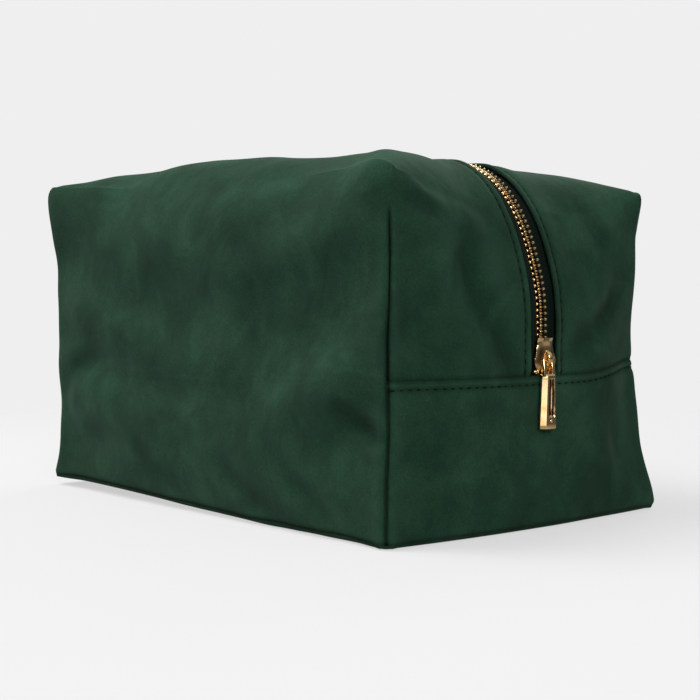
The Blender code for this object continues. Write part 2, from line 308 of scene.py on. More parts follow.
@dataclass(frozen=True)
class WovenTape(Finish):
    """Woven polyester zip tape, near-black green. Its fine ribs run across the zip."""

    name: str = "woven_zip_tape"
    slot_name: str = "tape"
    deep: str = "030d08"
    light: str = "0d2116"
    rib_mm: float = 0.8

    def dress(self, tree: bpy.types.NodeTree, shader: bpy.types.Node) -> None:
        """Ribs from the tape's own UV map, which is in metres.

        Args:
            tree: The material's node tree.
            shader: Its Principled shader.
        """
        place = add_node(tree, "UVMap").outputs[0]
        ribs = add_node(tree, "TexWave", {"bands_direction": "X", "Scale": WAVE_PERIOD / (self.rib_mm * MM),
                        "Distortion": 0.6, "Detail": 1.0, "Detail Scale": 2.0}, {"Vector": place})
        threads = add_node(tree, "TexWave", {"bands_direction": "Y",
                           "Scale": WAVE_PERIOD / (self.rib_mm * MM)}, {"Vector": place})
        weave = add_node(tree, "Math", {"operation": "MULTIPLY"},
                         {0: ribs.outputs["Fac"], 1: threads.outputs["Fac"]})
        colour = ramp(tree, weave.outputs[0], ((0.0, linear(self.deep)), (1.0, linear(self.light))))
        tree.links.new(colour, shader.inputs["Base Color"])
        shader.inputs["Roughness"].default_value = 0.85
        shader.inputs["Specular IOR Level"].default_value = 0.15
        bump = add_node(tree, "Bump", {"Strength": 0.6, "Distance": 0.2 * MM},
                        {"Height": weave.outputs[0]})
        tree.links.new(bump.outputs[0], shader.inputs["Normal"])


@dataclass(frozen=True)
class SatinLining(Finish):
    """Plain woven polyester lining with a dull satin gleam and faint crumples."""

    name: str = "woven_satin_lining"
    slot_name: str = "lining"
    deep: str = "0d1912"
    light: str = "1d3026"
    thread_mm: float = 0.6
    crumple_mm: float = 22.0

    def dress(self, tree: bpy.types.NodeTree, shader: bpy.types.Node) -> None:
        """Two crossing thread waves and a soft crumple, on Object coordinates.

        Args:
            tree: The material's node tree.
            shader: Its Principled shader.
        """
        place = add_node(tree, "TexCoord").outputs["Object"]
        scale = WAVE_PERIOD / (self.thread_mm * MM)
        across = add_node(tree, "TexWave", {"bands_direction": "DIAGONAL", "Scale": scale},
                          {"Vector": place})
        along = add_node(tree, "TexWave", {"bands_direction": "Z", "Scale": scale},
                         {"Vector": place})
        weave = add_node(tree, "Math", {"operation": "MULTIPLY"},
                         {0: across.outputs["Fac"], 1: along.outputs["Fac"]})
        crumple = add_node(tree, "TexNoise", {"Scale": 1 / (self.crumple_mm * MM), "Detail": 4.0,
                           "Distortion": 1.2}, {"Vector": place})
        colour = ramp(tree, crumple.outputs["Fac"],
                      ((0.3, linear(self.deep)), (0.75, linear(self.light))))
        tree.links.new(colour, shader.inputs["Base Color"])
        shader.inputs["Roughness"].default_value = 0.42
        shader.inputs["Specular IOR Level"].default_value = 0.4
        soft = add_node(tree, "Bump", {"Strength": 0.8, "Distance": 2.0 * MM},
                        {"Height": crumple.outputs["Fac"]})
        fine = add_node(tree, "Bump", {"Strength": 0.25, "Distance": 0.15 * MM},
                        {"Height": weave.outputs[0], "Normal": soft.outputs[0]})
        tree.links.new(fine.outputs[0], shader.inputs["Normal"])


@dataclass(frozen=True)
class GoldPlate(Finish):
    """Pale gold electroplate on die-cast zinc and stamped brass, polished: bright edges, painted brown
    shade in the recesses, and faint handling scratches."""

    name: str = "polished_gold_plate"
    slot_name: str = "gold"
    colour: str = "f4d6a0"
    tarnish: str = "e2b478"
    # colour of the painted shade in the recesses
    recess_shade: str = "5a3820"
    roughness: float = 0.13
    cloud_mm: float = 5.0

    def dress(self, tree: bpy.types.NodeTree, shader: bpy.types.Node) -> None:
        """A metal with faint clouding in its colour and its gloss, and painted brown shade in its recesses.

        Args:
            tree: The material's node tree.
            shader: Its Principled shader.
        """
        place = add_node(tree, "TexCoord").outputs["Object"]
        cloud = add_node(tree, "TexNoise", {"Scale": 1 / (self.cloud_mm * MM), "Detail": 3.0},
                         {"Vector": place})
        colour = ramp(tree, cloud.outputs["Fac"],
                      ((0.30, linear(self.tarnish)), (0.55, linear(self.colour))))
        # Painted shade: the recess attribute darkens the gold towards brown.
        recess_shade = add_node(tree, "Attribute", {"attribute_name": PAINTED_RECESS_SHADE}).outputs["Fac"]
        recess_shaded = add_node(tree, "Mix", {"data_type": "RGBA", "B": linear(self.recess_shade)},
                        {"Factor": recess_shade, "A": colour})
        tree.links.new(recess_shaded.outputs["Result"], shader.inputs["Base Color"])
        shader.inputs["Metallic"].default_value = 1.0
        gloss = add_node(tree, "MapRange", {"To Min": self.roughness - 0.03,
                         "To Max": self.roughness + 0.05}, {"Value": cloud.outputs["Fac"]})
        tree.links.new(gloss.outputs[0], shader.inputs["Roughness"])
        stretch = add_node(tree, "Mapping", {"Scale": (1.0, 1.0, 0.08)}, {"Vector": place})
        scratch = add_node(tree, "TexNoise", {"Scale": 1 / (0.25 * MM), "Detail": 2.0},
                           {"Vector": stretch.outputs[0]})
        bump = add_node(tree, "Bump", {"Strength": 0.06, "Distance": 0.05 * MM},
                        {"Height": scratch.outputs["Fac"]})
        tree.links.new(bump.outputs[0], shader.inputs["Normal"])


@dataclass(frozen=True)
class SewingThread(Finish):
    """Twisted polyester thread, coloured near-black green as painted shade of the stitch holes, so that each
    stitch reads as a dark dash.
    """

    name: str = "twisted_sewing_thread"
    slot_name: str = "suede"
    # Both colours are painted shade, darker than the thread's own green, standing for the shade in the
    # stitch holes.
    deep: str = "020604"
    light: str = "08130c"
    twist_mm: float = 0.5

    def dress(self, tree: bpy.types.NodeTree, shader: bpy.types.Node) -> None:
        """Diagonal twist lines across each stitch.

        Args:
            tree: The material's node tree.
            shader: Its Principled shader.
        """
        place = add_node(tree, "TexCoord").outputs["Object"]
        twist = add_node(tree, "TexWave", {"bands_direction": "DIAGONAL",
                         "Scale": WAVE_PERIOD / (self.twist_mm * MM)}, {"Vector": place})
        colour = ramp(tree, twist.outputs["Fac"],
                      ((0.2, linear(self.deep)), (0.8, linear(self.light))))
        tree.links.new(colour, shader.inputs["Base Color"])
        shader.inputs["Roughness"].default_value = 0.8
        shader.inputs["Specular IOR Level"].default_value = 0.1
        bump = add_node(tree, "Bump", {"Strength": 0.4, "Distance": 0.1 * MM},
                        {"Height": twist.outputs["Fac"]})
        tree.links.new(bump.outputs[0], shader.inputs["Normal"])


@dataclass(frozen=True)
class OpenFoam(Finish):
    """Thin grey polyurethane foam interlining, with open cells."""

    name: str = "open_cell_foam"
    slot_name: str = "padding"
    deep: str = "8b8a83"
    light: str = "c6c4ba"
    cell_mm: float = 1.2

    def dress(self, tree: bpy.types.NodeTree, shader: bpy.types.Node) -> None:
        """Cells from a Voronoi pattern.

        Args:
            tree: The material's node tree.
            shader: Its Principled shader.
        """
        place = add_node(tree, "TexCoord").outputs["Object"]
        cells = add_node(tree, "TexVoronoi", {"Scale": 1 / (self.cell_mm * MM)}, {"Vector": place})
        colour = ramp(tree, cells.outputs["Distance"],
                      ((0.0, linear(self.deep)), (0.7, linear(self.light))))
        tree.links.new(colour, shader.inputs["Base Color"])
        shader.inputs["Roughness"].default_value = 0.95
        bump = add_node(tree, "Bump", {"Strength": 0.6, "Distance": 0.4 * MM},
                        {"Height": cells.outputs["Distance"]})
        tree.links.new(bump.outputs[0], shader.inputs["Normal"])


@dataclass(frozen=True)
class GreyBoard(Finish):
    """Pressed grey board, matt, with short paper fibres."""

    name: str = "pressed_grey_board"
    slot_name: str = "board"
    deep: str = "7d776b"
    light: str = "a49d8e"
    fibre_mm: float = 1.5

    def dress(self, tree: bpy.types.NodeTree, shader: bpy.types.Node) -> None:
        """Fibre flecks from a stretched noise.

        Args:
            tree: The material's node tree.
            shader: Its Principled shader.
        """
        place = add_node(tree, "TexCoord").outputs["Object"]
        flecks = add_node(tree, "TexNoise", {"Scale": 1 / (self.fibre_mm * MM), "Detail": 5.0,
                          "Roughness": 0.7}, {"Vector": place})
        colour = ramp(tree, flecks.outputs["Fac"],
                      ((0.3, linear(self.deep)), (0.7, linear(self.light))))
        tree.links.new(colour, shader.inputs["Base Color"])
        shader.inputs["Roughness"].default_value = 0.9


@dataclass(frozen=True)
class PaleFloor(Finish):
    """Matt pale studio floor, seen as bright as the backdrop and dimmed by a soft contact shadow."""

    name: str = "matt_studio_floor"
    colour: str = "808080"
    glow: str = "efefef"
    glow_seen: float = 0.66
    glow_cast: float = 0.12
    near_m: float = 0.22
    far_m: float = 0.62

    def dress(self, tree: bpy.types.NodeTree, shader: bpy.types.Node) -> None:
        """A plain floor with its alpha falling from near_m to far_m.

        Args:
            tree: The material's node tree.
            shader: Its Principled shader.
        """
        shader.inputs["Base Color"].default_value = linear(self.colour)
        shader.inputs["Roughness"].default_value = 1.0
        shader.inputs["Specular IOR Level"].default_value = 0.0
        shader.inputs["Emission Color"].default_value = linear(self.glow)
        seen = add_node(tree, "LightPath").outputs["Is Camera Ray"]
        strength = add_node(tree, "Mix", {"data_type": "FLOAT", "A": self.glow_cast,
                            "B": self.glow_seen}, {"Factor": seen})
        tree.links.new(strength.outputs["Result"], shader.inputs["Emission Strength"])
        place = add_node(tree, "TexCoord").outputs["Object"]
        reach = add_node(tree, "VectorMath", {"operation": "LENGTH"}, {0: place})
        fade = add_node(tree, "MapRange", {"interpolation_type": "SMOOTHSTEP",
                        "From Min": self.near_m, "From Max": self.far_m, "To Min": 1.0,
                        "To Max": 0.0}, {"Value": reach.outputs["Value"]})
        tree.links.new(fade.outputs[0], shader.inputs["Alpha"])


SUEDE = Microsuede()
TAPE = WovenTape()
LINING = SatinLining()
GOLD = GoldPlate()
THREAD = SewingThread()
FOAM = OpenFoam()
BOARD = GreyBoard()


# ---------------------------------------------------------------------------
# The bag's soft form
# ---------------------------------------------------------------------------


@dataclass(frozen=True)
class Crease:
    """A fold line in the cloth: points on the sharp box, its depth and its half width."""

    points: tuple[tuple[float, float, float], ...]
    depth: float
    width: float

    def dent(self, place: Vector) -> float:
        """How far the fold pulls the cloth in at a place, with a soft ridge beside it.

        Args:
            place: A point on the sharp box.

        Returns:
            The depth, in metres; less than 0 on the ridge.
        """
        nearest = 1.0
        share = 0.5
        spans = len(self.points) - 1
        for i in range(spans):
            a = Vector(self.points[i])
            b = Vector(self.points[i + 1])
            run = b - a
            t = min(max((place - a).dot(run) / run.length_squared, 0.0), 1.0)
            away = (place - a - run * t).length
            if away < nearest:
                nearest = away
                share = (i + t) / spans
        if nearest > 4 * self.width:
            return 0.0
        fade = math.sin(math.pi * min(max(share, 0.04), 0.96)) ** 0.6
        ridge = 0.45 * bell(nearest - 1.9 * self.width, self.width)
        return self.depth * fade * (bell(nearest, self.width) - ridge)


@dataclass(frozen=True)
class Waist:
    """How one upright corner is drawn in, by how much and at what height, and how far its top and
    its foot lean out."""

    depth: float
    height: float
    ear: float
    foot: float


WAISTS = {
    (End.RIGHT, Half.FRONT): Waist(0.0018, 0.040, -0.0004, 0.0),
    (End.RIGHT, Half.BACK): Waist(0.0070, 0.080, -0.0022, 0.0012),
    (End.LEFT, Half.FRONT): Waist(0.0026, 0.034, 0.0022, -0.0006),
    (End.LEFT, Half.BACK): Waist(0.0038, 0.070, 0.0002, 0.0006),
}


@dataclass
class SoftForm:
    """The bag's outer shape, as a map from a sharp box to the soft surface."""

    length: float = 0.240
    width: float = 0.165
    height: float = 0.148
    bulge: float = 0.0045
    seam_height: float = 0.062
    base_seam: float = 0.0016
    upright_radius: float = 0.0070
    base_radius: float = 0.0066
    end_base_radius: float = 0.0026
    side_top_radius: float = 0.036
    corner_top_radius: float = 0.0070
    near_corner_radius: float = 0.0200
    sweep_length: float = 0.0435
    sweep_height: float = 0.0720
    crown: float = 0.0068
    clearance: float = 0.0003
    creases: tuple[Crease, ...] = ()
    cloth: "SlackCloth | None" = None

    @property
    def half(self) -> Vector:
        """Half of the sharp box's size."""
        return Vector((self.length / 2, self.width / 2, self.height / 2))

    def radii(self, place: Vector) -> Vector:
        """Edge radii along X, Y and Z near a place on the sharp box, with z from the box's middle.

        The top of each end rolls over in a long sweep at the zip and in a tight one at the corners.

        Args:
            place: The point, with z from the box's middle.

        Returns:
            The three radii.
        """
        half = self.half
        middle = max(1 - (abs(place.y) / half.y) ** 1.9, 0.0)
        endness = smooth(abs(place.x), half.x - 0.075, half.x - 0.030)
        up = smooth(place.z, -0.004, 0.040)
        high = smooth(place.z, half.z - 0.075, half.z - 0.020)
        low = smooth(place.z, -half.z + 0.020, -half.z + 0.004)
        side = self.upright_radius
        to_corner = smooth(abs(place.x), half.x - 0.060, half.x - 0.004)
        near = smooth(place.x, 0.040, 0.090) * smooth(-place.y, 0.020, 0.050)
        corner = self.corner_top_radius + (self.near_corner_radius - self.corner_top_radius) * near
        top = self.side_top_radius + (corner - self.side_top_radius) * to_corner
        at_end = smooth(abs(place.x), half.x - 0.024, half.x - 0.004)
        base = self.base_radius + (self.end_base_radius - self.base_radius) * at_end
        side_now = side + (max(base, 0.0040) - side) * low
        along = side_now + (side + (self.sweep_length - side) * middle - side_now) * up * endness
        along += (top - side) * high * (1 - middle) * 0.6
        across = side_now + (top - side) * high
        if place.z < 0:
            return Vector((along, across, base))
        rise = top + (self.sweep_height - top) * middle * endness
        return Vector((along, across, rise))

    def rounded(self, place: Vector, inset: float) -> Vector:
        """A sharp box point on the rounded box, with z from the box's middle.

        Args:
            place: The point.
            inset: Depth below the outer face.

        Returns:
            The point on the rounded box.
        """
        half = self.half
        radii = self.radii(place)
        core = Vector()
        rise = Vector()
        for k in range(3):
            size = half[k] - inset
            radius = max(radii[k] - inset, 0.0006)
            radii[k] = radius
            value = place[k] * size / half[k]
            limit = size - radius
            core[k] = math.copysign(min(abs(value), limit), value)
            rise[k] = max(abs(value) - limit, 0.0) / radius
        reach = max(rise)
        if reach <= 0:
            return core
        turn = rise.normalized() * reach
        return Vector(core[k] + math.copysign(turn[k] * radii[k], place[k]) for k in range(3))

    def end_bow(self, y: float) -> float:
        """How far an end stands out from its plane."""
        straight = self.half.y - self.upright_radius
        return self.bulge * max(1 - (y / straight) ** 2, 0.0)

    def corner_pull(self, x: float, y: float, z: float) -> float:
        """How far an upright corner is pulled in towards the bag's middle.

        Args:
            x: Along the bag.
            y: Across it.
            z: Height.

        Returns:
            The pull along X and along Y, in metres.
        """
        waist = WAISTS[End(1 if x > 0 else -1), Half(1 if y > 0 else -1)]
        nearness = smooth(abs(x), self.half.x - 0.060, self.half.x) * smooth(
            abs(y), self.half.y - 0.050, self.half.y)
        share = min(max(z / self.height, 0.0), 1.0)
        bend = math.log(0.5) / math.log(waist.height / self.height)
        drawn = waist.depth * math.sin(math.pi * share ** bend) ** 1.4
        ear = waist.ear * smooth(z, self.height - 0.045, self.height - 0.004)
        return nearness * (drawn - ear - waist.foot * smooth(-z, -0.030, -0.006))

    def top_rise(self, x: float, y: float) -> float:
        """Crown of the top, with a shallow dip near its front edge and lower far corners.

        Args:
            x: Along the bag.
            y: Across it.

        Returns:
            The rise, in metres.
        """
        across = 1 - 0.25 * bell(y, 0.030)
        crown = self.crown * bell(x + 0.018, 0.088) * across
        crown += 0.0018 * bell(x - 0.095, 0.040) * smooth(-y, -0.040, 0.050)
        dip = 0.0014 * bell(x - 0.050, 0.022) * smooth(-y, 0.020, 0.070)
        dip += 0.0018 * bell(x + 0.042, 0.026) * smooth(y, 0.020, 0.070)
        corner = smooth(abs(y), 0.030, 0.080)
        droop = 0.0036 * smooth(-x, 0.080, 0.122) * corner
        droop += 0.0078 * smooth(x, 0.060, 0.120) * smooth(y, 0.020, 0.080)
        return crown - dip - droop

    def place(self, x: float, y: float, z: float, inset: float = 0.0) -> Vector:
        """The soft place of a sharp box point.

        Args:
            x: Along the bag.
            y: Across it.
            z: Height, 0 at the base and the form's height at the top.
            inset: Depth below the outer face.

        Returns:
            The place in the frame.
        """
        half = self.half
        soft = self.rounded(Vector((x, y, z - half.z)), inset)
        soft.z += half.z
        up = soft.z
        outwards = smooth(abs(soft.x), 0.35 * half.x, half.x)
        bow = self.end_bow(soft.y) * outwards
        pull = self.corner_pull(soft.x, soft.y, up)
        soft.x += (bow - pull) * math.copysign(1.0, soft.x)
        soft.y -= pull * math.copysign(1.0, soft.y)
        soft.z += self.top_rise(soft.x, soft.y) * smooth(up, 0.35 * self.height, self.height)
        lift = 0.0052 * bell(abs(soft.x) - half.x, 0.020) * smooth(
            soft.y * math.copysign(1.0, soft.x), 0.020, 0.080)
        soft.z += lift * bell(up - self.seam_height, 0.024)
        soft.z += 0.0034 * smooth(-soft.y, 0.050, 0.080) * smooth(-soft.x, -0.060, 0.100) * bell(up, 0.030)
        if self.cloth:
            soft += self.cloth.offset(x, y, z)
        return soft

    def frame_at(self, x: float, y: float, z: float, inset: float,
                 along: Vector) -> tuple[Vector, Vector, Vector]:
        """Place, tangent and outward normal at a sharp box point.

        Args:
            x: Along the bag.
            y: Across it.
            z: Height.
            inset: Depth below the outer face.
            along: Direction on the box in which the tangent runs.

        Returns:
            The place, the unit tangent and the unit normal.
        """
        step = 0.0006
        here = self.place(x, y, z, inset)
        ahead = self.place(x + along.x * step, y, z + along.z * step, inset)
        behind = self.place(x - along.x * step, y, z - along.z * step, inset)
        tangent = (ahead - behind).normalized()
        side = self.place(x, y + step, z, inset) - self.place(x, y - step, z, inset)
        normal = tangent.cross(side).normalized()
        out = here - Vector((0, here.y, self.height * 0.45))
        if normal.dot(out) < 0:
            normal.negate()
        return here, tangent, normal


def side_points(half: Half, *points: tuple[float, float]) -> tuple[tuple[float, float, float], ...]:
    """Points on one side of the sharp box, from their x and z."""
    return tuple((x, half.value * SoftForm.width / 2, z) for x, z in points)


def end_points(end: End, *points: tuple[float, float]) -> tuple[tuple[float, float, float], ...]:
    """Points on one end of the sharp box, from their y and z."""
    return tuple((end.value * SoftForm.length / 2, y, z) for y, z in points)


CREASES = (
    # diagonal drags towards the near lower corner of the front
    Crease(side_points(Half.FRONT, (0.018, 0.026), (0.038, 0.012), (0.060, 0.004)), 0.0013, 0.0040),
    Crease(side_points(Half.FRONT, (0.052, 0.034), (0.072, 0.018), (0.092, 0.006)), 0.0015, 0.0038),
    Crease(side_points(Half.FRONT, (-0.044, 0.028), (-0.024, 0.014), (-0.002, 0.007)), 0.0009, 0.0042),
    # pinch beside the upright seam
    Crease(side_points(Half.FRONT, (0.1195, 0.040), (0.110, 0.043), (0.094, 0.050)), 0.0022, 0.0030),
    Crease(side_points(Half.FRONT, (0.1195, 0.088), (0.112, 0.082)), 0.0010, 0.0030),
    # soft dimples on the right end, left of the zip
    Crease(end_points(End.RIGHT, (-0.040, 0.128), (-0.042, 0.106), (-0.034, 0.086), (-0.020, 0.068)),
           0.0026, 0.0062),
    Crease(end_points(End.RIGHT, (-0.070, 0.134), (-0.062, 0.127), (-0.052, 0.128)), 0.0014, 0.0050),
    # folds on the right end, right of the zip
    Crease(end_points(End.RIGHT, (0.014, 0.070), (0.030, 0.078), (0.046, 0.088), (0.058, 0.100)),
           0.0024, 0.0052),
    Crease(end_points(End.RIGHT, (0.040, 0.132), (0.050, 0.118), (0.066, 0.106)), 0.0012, 0.0055),
    # lower end panel
    Crease(end_points(End.RIGHT, (0.000, 0.050), (0.012, 0.034), (0.014, 0.016)), 0.0010, 0.0070),
    Crease(end_points(End.RIGHT, (0.040, 0.052), (0.052, 0.036), (0.060, 0.020)), 0.0010, 0.0060),
    # the far end
    Crease(end_points(End.LEFT, (-0.030, 0.106), (-0.044, 0.086), (-0.060, 0.074)), 0.0018, 0.0055),
    Crease(end_points(End.LEFT, (0.030, 0.124), (0.040, 0.098), (0.032, 0.074)), 0.0020, 0.0058),
    Crease(end_points(End.LEFT, (0.052, 0.016), (0.020, 0.032), (-0.010, 0.028)), 0.0010, 0.0060),
    # the back
    Crease(side_points(Half.BACK, (-0.108, 0.008), (-0.084, 0.024), (-0.054, 0.034)), 0.0014, 0.0042),
    Crease(side_points(Half.BACK, (0.104, 0.020), (0.080, 0.044), (0.066, 0.056)), 0.0012, 0.0042),
    Crease(side_points(Half.BACK, (0.050, 0.124), (0.010, 0.112), (-0.030, 0.116)), 0.0009, 0.0060),
    # upper front, soft and long
    Crease(side_points(Half.FRONT, (0.078, 0.132), (0.040, 0.116), (-0.006, 0.110)), 0.0010, 0.0080),
    Crease(side_points(Half.FRONT, (-0.116, 0.040), (-0.098, 0.056), (-0.076, 0.064)), 0.0012, 0.0050),
)
FORM = SoftForm(creases=CREASES)


@dataclass
class SlackCloth:
    """How the shell settles as cloth held at its seams: a coarse copy of it, simulated once.

    Its moves are kept by place on the sharp box, so every layer, tape and stitch follows them.
    """

    step: float = 0.0085
    frames: int = 16
    pressure: float = 1.2
    gravity: float = 0.5
    growth: float = 0.012
    cap: float = 0.0042
    reach: float = 0.0085
    sag_reach: float = 0.042
    neighbours: int = 8
    held_foot: float = 0.012
    held_zip: float = 0.019
    held_corner: float = 0.006
    held_seam: float = 0.005

    def hold(self, place: Vector) -> float:
        """How firmly a sharp box place is held: fully by the zip and the base, less by seams.

        Args:
            place: The point.

        Returns:
            From 0, free, to 1, fixed.
        """
        half = FORM.half
        on_end = abs(place.x) > half.x - ON_FACE
        on_top = place.z > FORM.height - ON_FACE
        if place.z < self.held_foot:
            return 1.0
        if (on_top or on_end) and abs(place.y) < self.held_zip:
            return 1.0
        corner = math.hypot(half.x - abs(place.x), half.y - abs(place.y))
        if corner < self.held_corner and place.z < FORM.height - 0.030:
            return 0.80
        if on_end and abs(place.z - FORM.seam_height) < self.held_seam:
            return 0.85
        return 0.0

    def settle(self) -> "SlackCloth":
        """Run the simulation and keep each coarse point's move.

        Returns:
            This cloth, with its moves.
        """
        work = sharp_box(self.step, False)
        sharp = [v.co.copy() for v in work.verts]
        soften(work, 0.0, False)
        start = [v.co.copy() for v in work.verts]
        trial = to_object(work, "slack_trial", Finish())
        held = trial.vertex_groups.new(name="held")
        for index, place in enumerate(sharp):
            held.add([index], self.hold(place), "REPLACE")
        cloth = trial.modifiers.new("slack", "CLOTH")
        settings = cloth.settings
        settings.quality = 7
        settings.mass = 0.25
        settings.tension_stiffness = 12
        settings.compression_stiffness = 8
        settings.shear_stiffness = 4
        settings.bending_stiffness = 0.15
        settings.air_damping = 2.0
        settings.use_pressure = True
        settings.uniform_pressure_force = self.pressure
        settings.vertex_group_mass = held.name
        settings.shrink_min = -self.growth
        settings.effector_weights.gravity = self.gravity
        cloth.collision_settings.use_collision = False
        cloth.point_cache.frame_end = self.frames
        scene = bpy.context.scene
        for number in range(1, self.frames + 1):
            scene.frame_set(number)
        settled = trial.evaluated_get(bpy.context.evaluated_depsgraph_get()).data
        self.moves = []
        self.tree = kdtree.KDTree(len(sharp))
        for index, (place, before) in enumerate(zip(sharp, start)):
            move = settled.vertices[index].co - before
            if move.length > self.cap:
                move = move * (self.cap / move.length)
            self.moves.append(move)
            self.tree.insert(place, index)
        self.tree.balance()
        self.keep_wrinkles(sharp)
        scene.frame_set(1)
        bpy.data.objects.remove(trial, do_unlink=True)
        LOG.info("cloth settled: largest move %.1f mm", 1000 * max(m.length for m in self.moves))
        return self

    def keep_wrinkles(self, sharp: list[Vector]) -> None:
        """Take the wide sag out of the moves, which the soft form already has, and leave wrinkles.

        Args:
            sharp: The coarse points on the sharp box, in the order of the moves.
        """
        wide = []
        for place in sharp:
            total = Vector()
            weights = 0.0
            for _, index, away in self.tree.find_range(place, self.sag_reach):
                weight = bell(away, self.sag_reach)
                total += self.moves[index] * weight
                weights += weight
            wide.append(total / weights)
        self.moves = [(move - sag) * (1 - self.hold(place))
                      for move, sag, place in zip(self.moves, wide, sharp)]

    def offset(self, x: float, y: float, z: float) -> Vector:
        """The move at any place on the sharp box, blended from its nearest coarse points.

        Args:
            x: Along the bag.
            y: Across it.
            z: Height.

        Returns:
            The move, in metres.
        """
        total = Vector()
        weights = 0.0
        for _, index, away in self.tree.find_n((x, y, z), self.neighbours):
            weight = bell(away, self.reach) + 1e-9
            total += self.moves[index] * weight
            weights += weight
        return total / weights


@dataclass(frozen=True)
class Seams:
    """Where the cloth is cut and sewn, in metres on the sharp box."""

    window: float = 0.0079
    zip_stitch: float = 0.0112
    end_stitch: float = 0.0034
    dart_top: float = 0.126
    stitch_pitch: float = 0.0040
    stitch_length: float = 0.0033
    thread: float = 0.00078


SEAMS = Seams()


@dataclass(frozen=True)
class SeamProfile:
    """How a seam shapes the cloth across itself. Each bump has its distance from the seam, its size
    and its width: heights are in metres, and painted shadings are shares of painted shade, or of painted
    highlight below 0."""

    heights: tuple[tuple[float, float, float], ...]
    painted_shadings: tuple[tuple[float, float, float], ...]

    def at(self, away: float) -> tuple[float, float]:
        """The height and the painted shading at a distance from the seam."""
        high = sum(size * bell(away - place, width) for place, size, width in self.heights)
        painted_shading = sum(size * bell(away - place, width) for place, size, width in self.painted_shadings)
        return high, painted_shading


# In each profile the second table is painted shade in the grooves and a painted highlight on the ridges
# beside them.
# From the folded edge beside the tape: the fold's roll, the stitched groove, the puff behind it.
ZIP_PROFILE = SeamProfile(
    ((0.0033, -0.00050, 0.0011), (0.0012, 0.00050, 0.0015), (0.0088, 0.00060, 0.0040)),
    ((0.0033, 0.45, 0.0010), (0.0, 0.35, 0.0008), (0.0014, -0.14, 0.0010)))
# Upwards from the end seam: below it the topstitched groove and its puff, above it the upper cloth.
END_PROFILE = SeamProfile(
    ((-0.0034, -0.00040, 0.0011), (-0.0084, 0.00050, 0.0040), (-0.0014, 0.00045, 0.0010),
     (0.0, -0.00090, 0.0010), (0.0055, 0.00040, 0.0035)),
    ((-0.0034, 0.40, 0.0010), (0.0, 0.80, 0.0008), (-0.0022, -0.20, 0.0010)))
# Away from an upright corner seam: the pinch and the puff beside it.
CORNER_PROFILE = SeamProfile(((0.0, -0.0017, 0.0012), (0.0045, 0.00055, 0.0030)),
                             ((0.0, 1.00, 0.0012), (0.0040, -0.15, 0.0022)))
# Upwards from the base seam.
BASE_PROFILE = SeamProfile(((0.0, -0.0007, 0.0011), (0.0040, 0.0003, 0.0030)), ((0.0, 0.70, 0.0009),))


def relief(x: float, y: float, z: float) -> tuple[float, float]:
    """The cloth's height over the smooth form and the painted shading there.

    Args:
        x: Along the bag, on the sharp box.
        y: Across it.
        z: Height.

    Returns:
        The height along the outward normal, in metres, from seams, the puff beside them, creases and
        slack; and the painted shading, from -1, a painted highlight on ridges, to 1, painted shade in
        seams and creases.
    """
    half = FORM.half
    on_end = abs(x) > half.x - ON_FACE
    on_side = abs(y) > half.y - ON_FACE
    on_top = z > FORM.height - ON_FACE
    corner = 1.0
    if on_end:
        corner = half.y - abs(y)
    if on_side:
        corner = half.x - abs(x)
    sewn = 1 - smooth(z, SEAMS.dart_top - 0.008, SEAMS.dart_top)
    parts = []
    if on_top or (on_end and z > FORM.seam_height - ON_FACE):
        parts.append((ZIP_PROFILE.at(abs(y) - SEAMS.window), 1.0))
    if on_end:
        parts.append((END_PROFILE.at(z - FORM.seam_height), 1.0))
    if corner < 0.03:
        parts.append((CORNER_PROFILE.at(corner), sewn))
    if z < 0.014 and not on_top:
        parts.append((BASE_PROFILE.at(z - FORM.base_seam), 1.0))
    high = sum(height * share for (height, _), share in parts)
    # Painted shade and highlight from the seams.
    painted_shading = sum(nap_and_shade * share for (_, nap_and_shade), share in parts)
    spot = Vector((x, y, z))
    free = smooth(min(abs(y) if (on_top or on_end) else 1.0, 0.1), 0.012, 0.030)
    for crease in FORM.creases:
        dent = crease.dent(spot)
        high -= dent
        # Each crease adds painted shade in its fold and a painted highlight on the ridge beside it.
        painted_shading += dent * 130
    slack = noise.noise(spot * 24.0) * 0.0012 + noise.noise(spot * 55.0 + Vector((3, 7, 1))) * 0.00050
    drag = noise.noise(Vector((x * 70.0, y * 70.0, z * 18.0))) * 0.00025
    lift = smooth(z, 0.002, 0.020)
    high += (slack + drag) * (0.35 + 0.65 * free) * lift
    return high, min(max(painted_shading, -1.0), 1.0)


def cuts(low: float, high: float, step: float, fine: Iterable[float] = (),
         reach: float = 0.0026, fine_step: float = 0.0009) -> list[float]:
    """Cutting positions between two ends: even, and closer round the fine places.

    Args:
        low: The lower end.
        high: The upper end.
        step: The even spacing.
        fine: Places that get closer cuts.
        reach: How far the closer cuts go to each side.
        fine_step: Their spacing.

    Returns:
        The positions, in order.
    """
    made = []
    count = max(int(round((high - low) / step)), 1)
    for i in range(1, count):
        value = low + (high - low) * i / count
        if all(abs(value - f) > reach for f in fine):
            made.append(value)
    for f in fine:
        steps = int(round(reach / fine_step))
        for i in range(-steps, steps + 1):
            value = f + i * fine_step
            if low + ON_FACE < value < high - ON_FACE:
                made.append(value)
    made.sort()
    kept = []
    for value in made:
        if not kept or value - kept[-1] > 0.45 * fine_step:
            kept.append(value)
    return kept


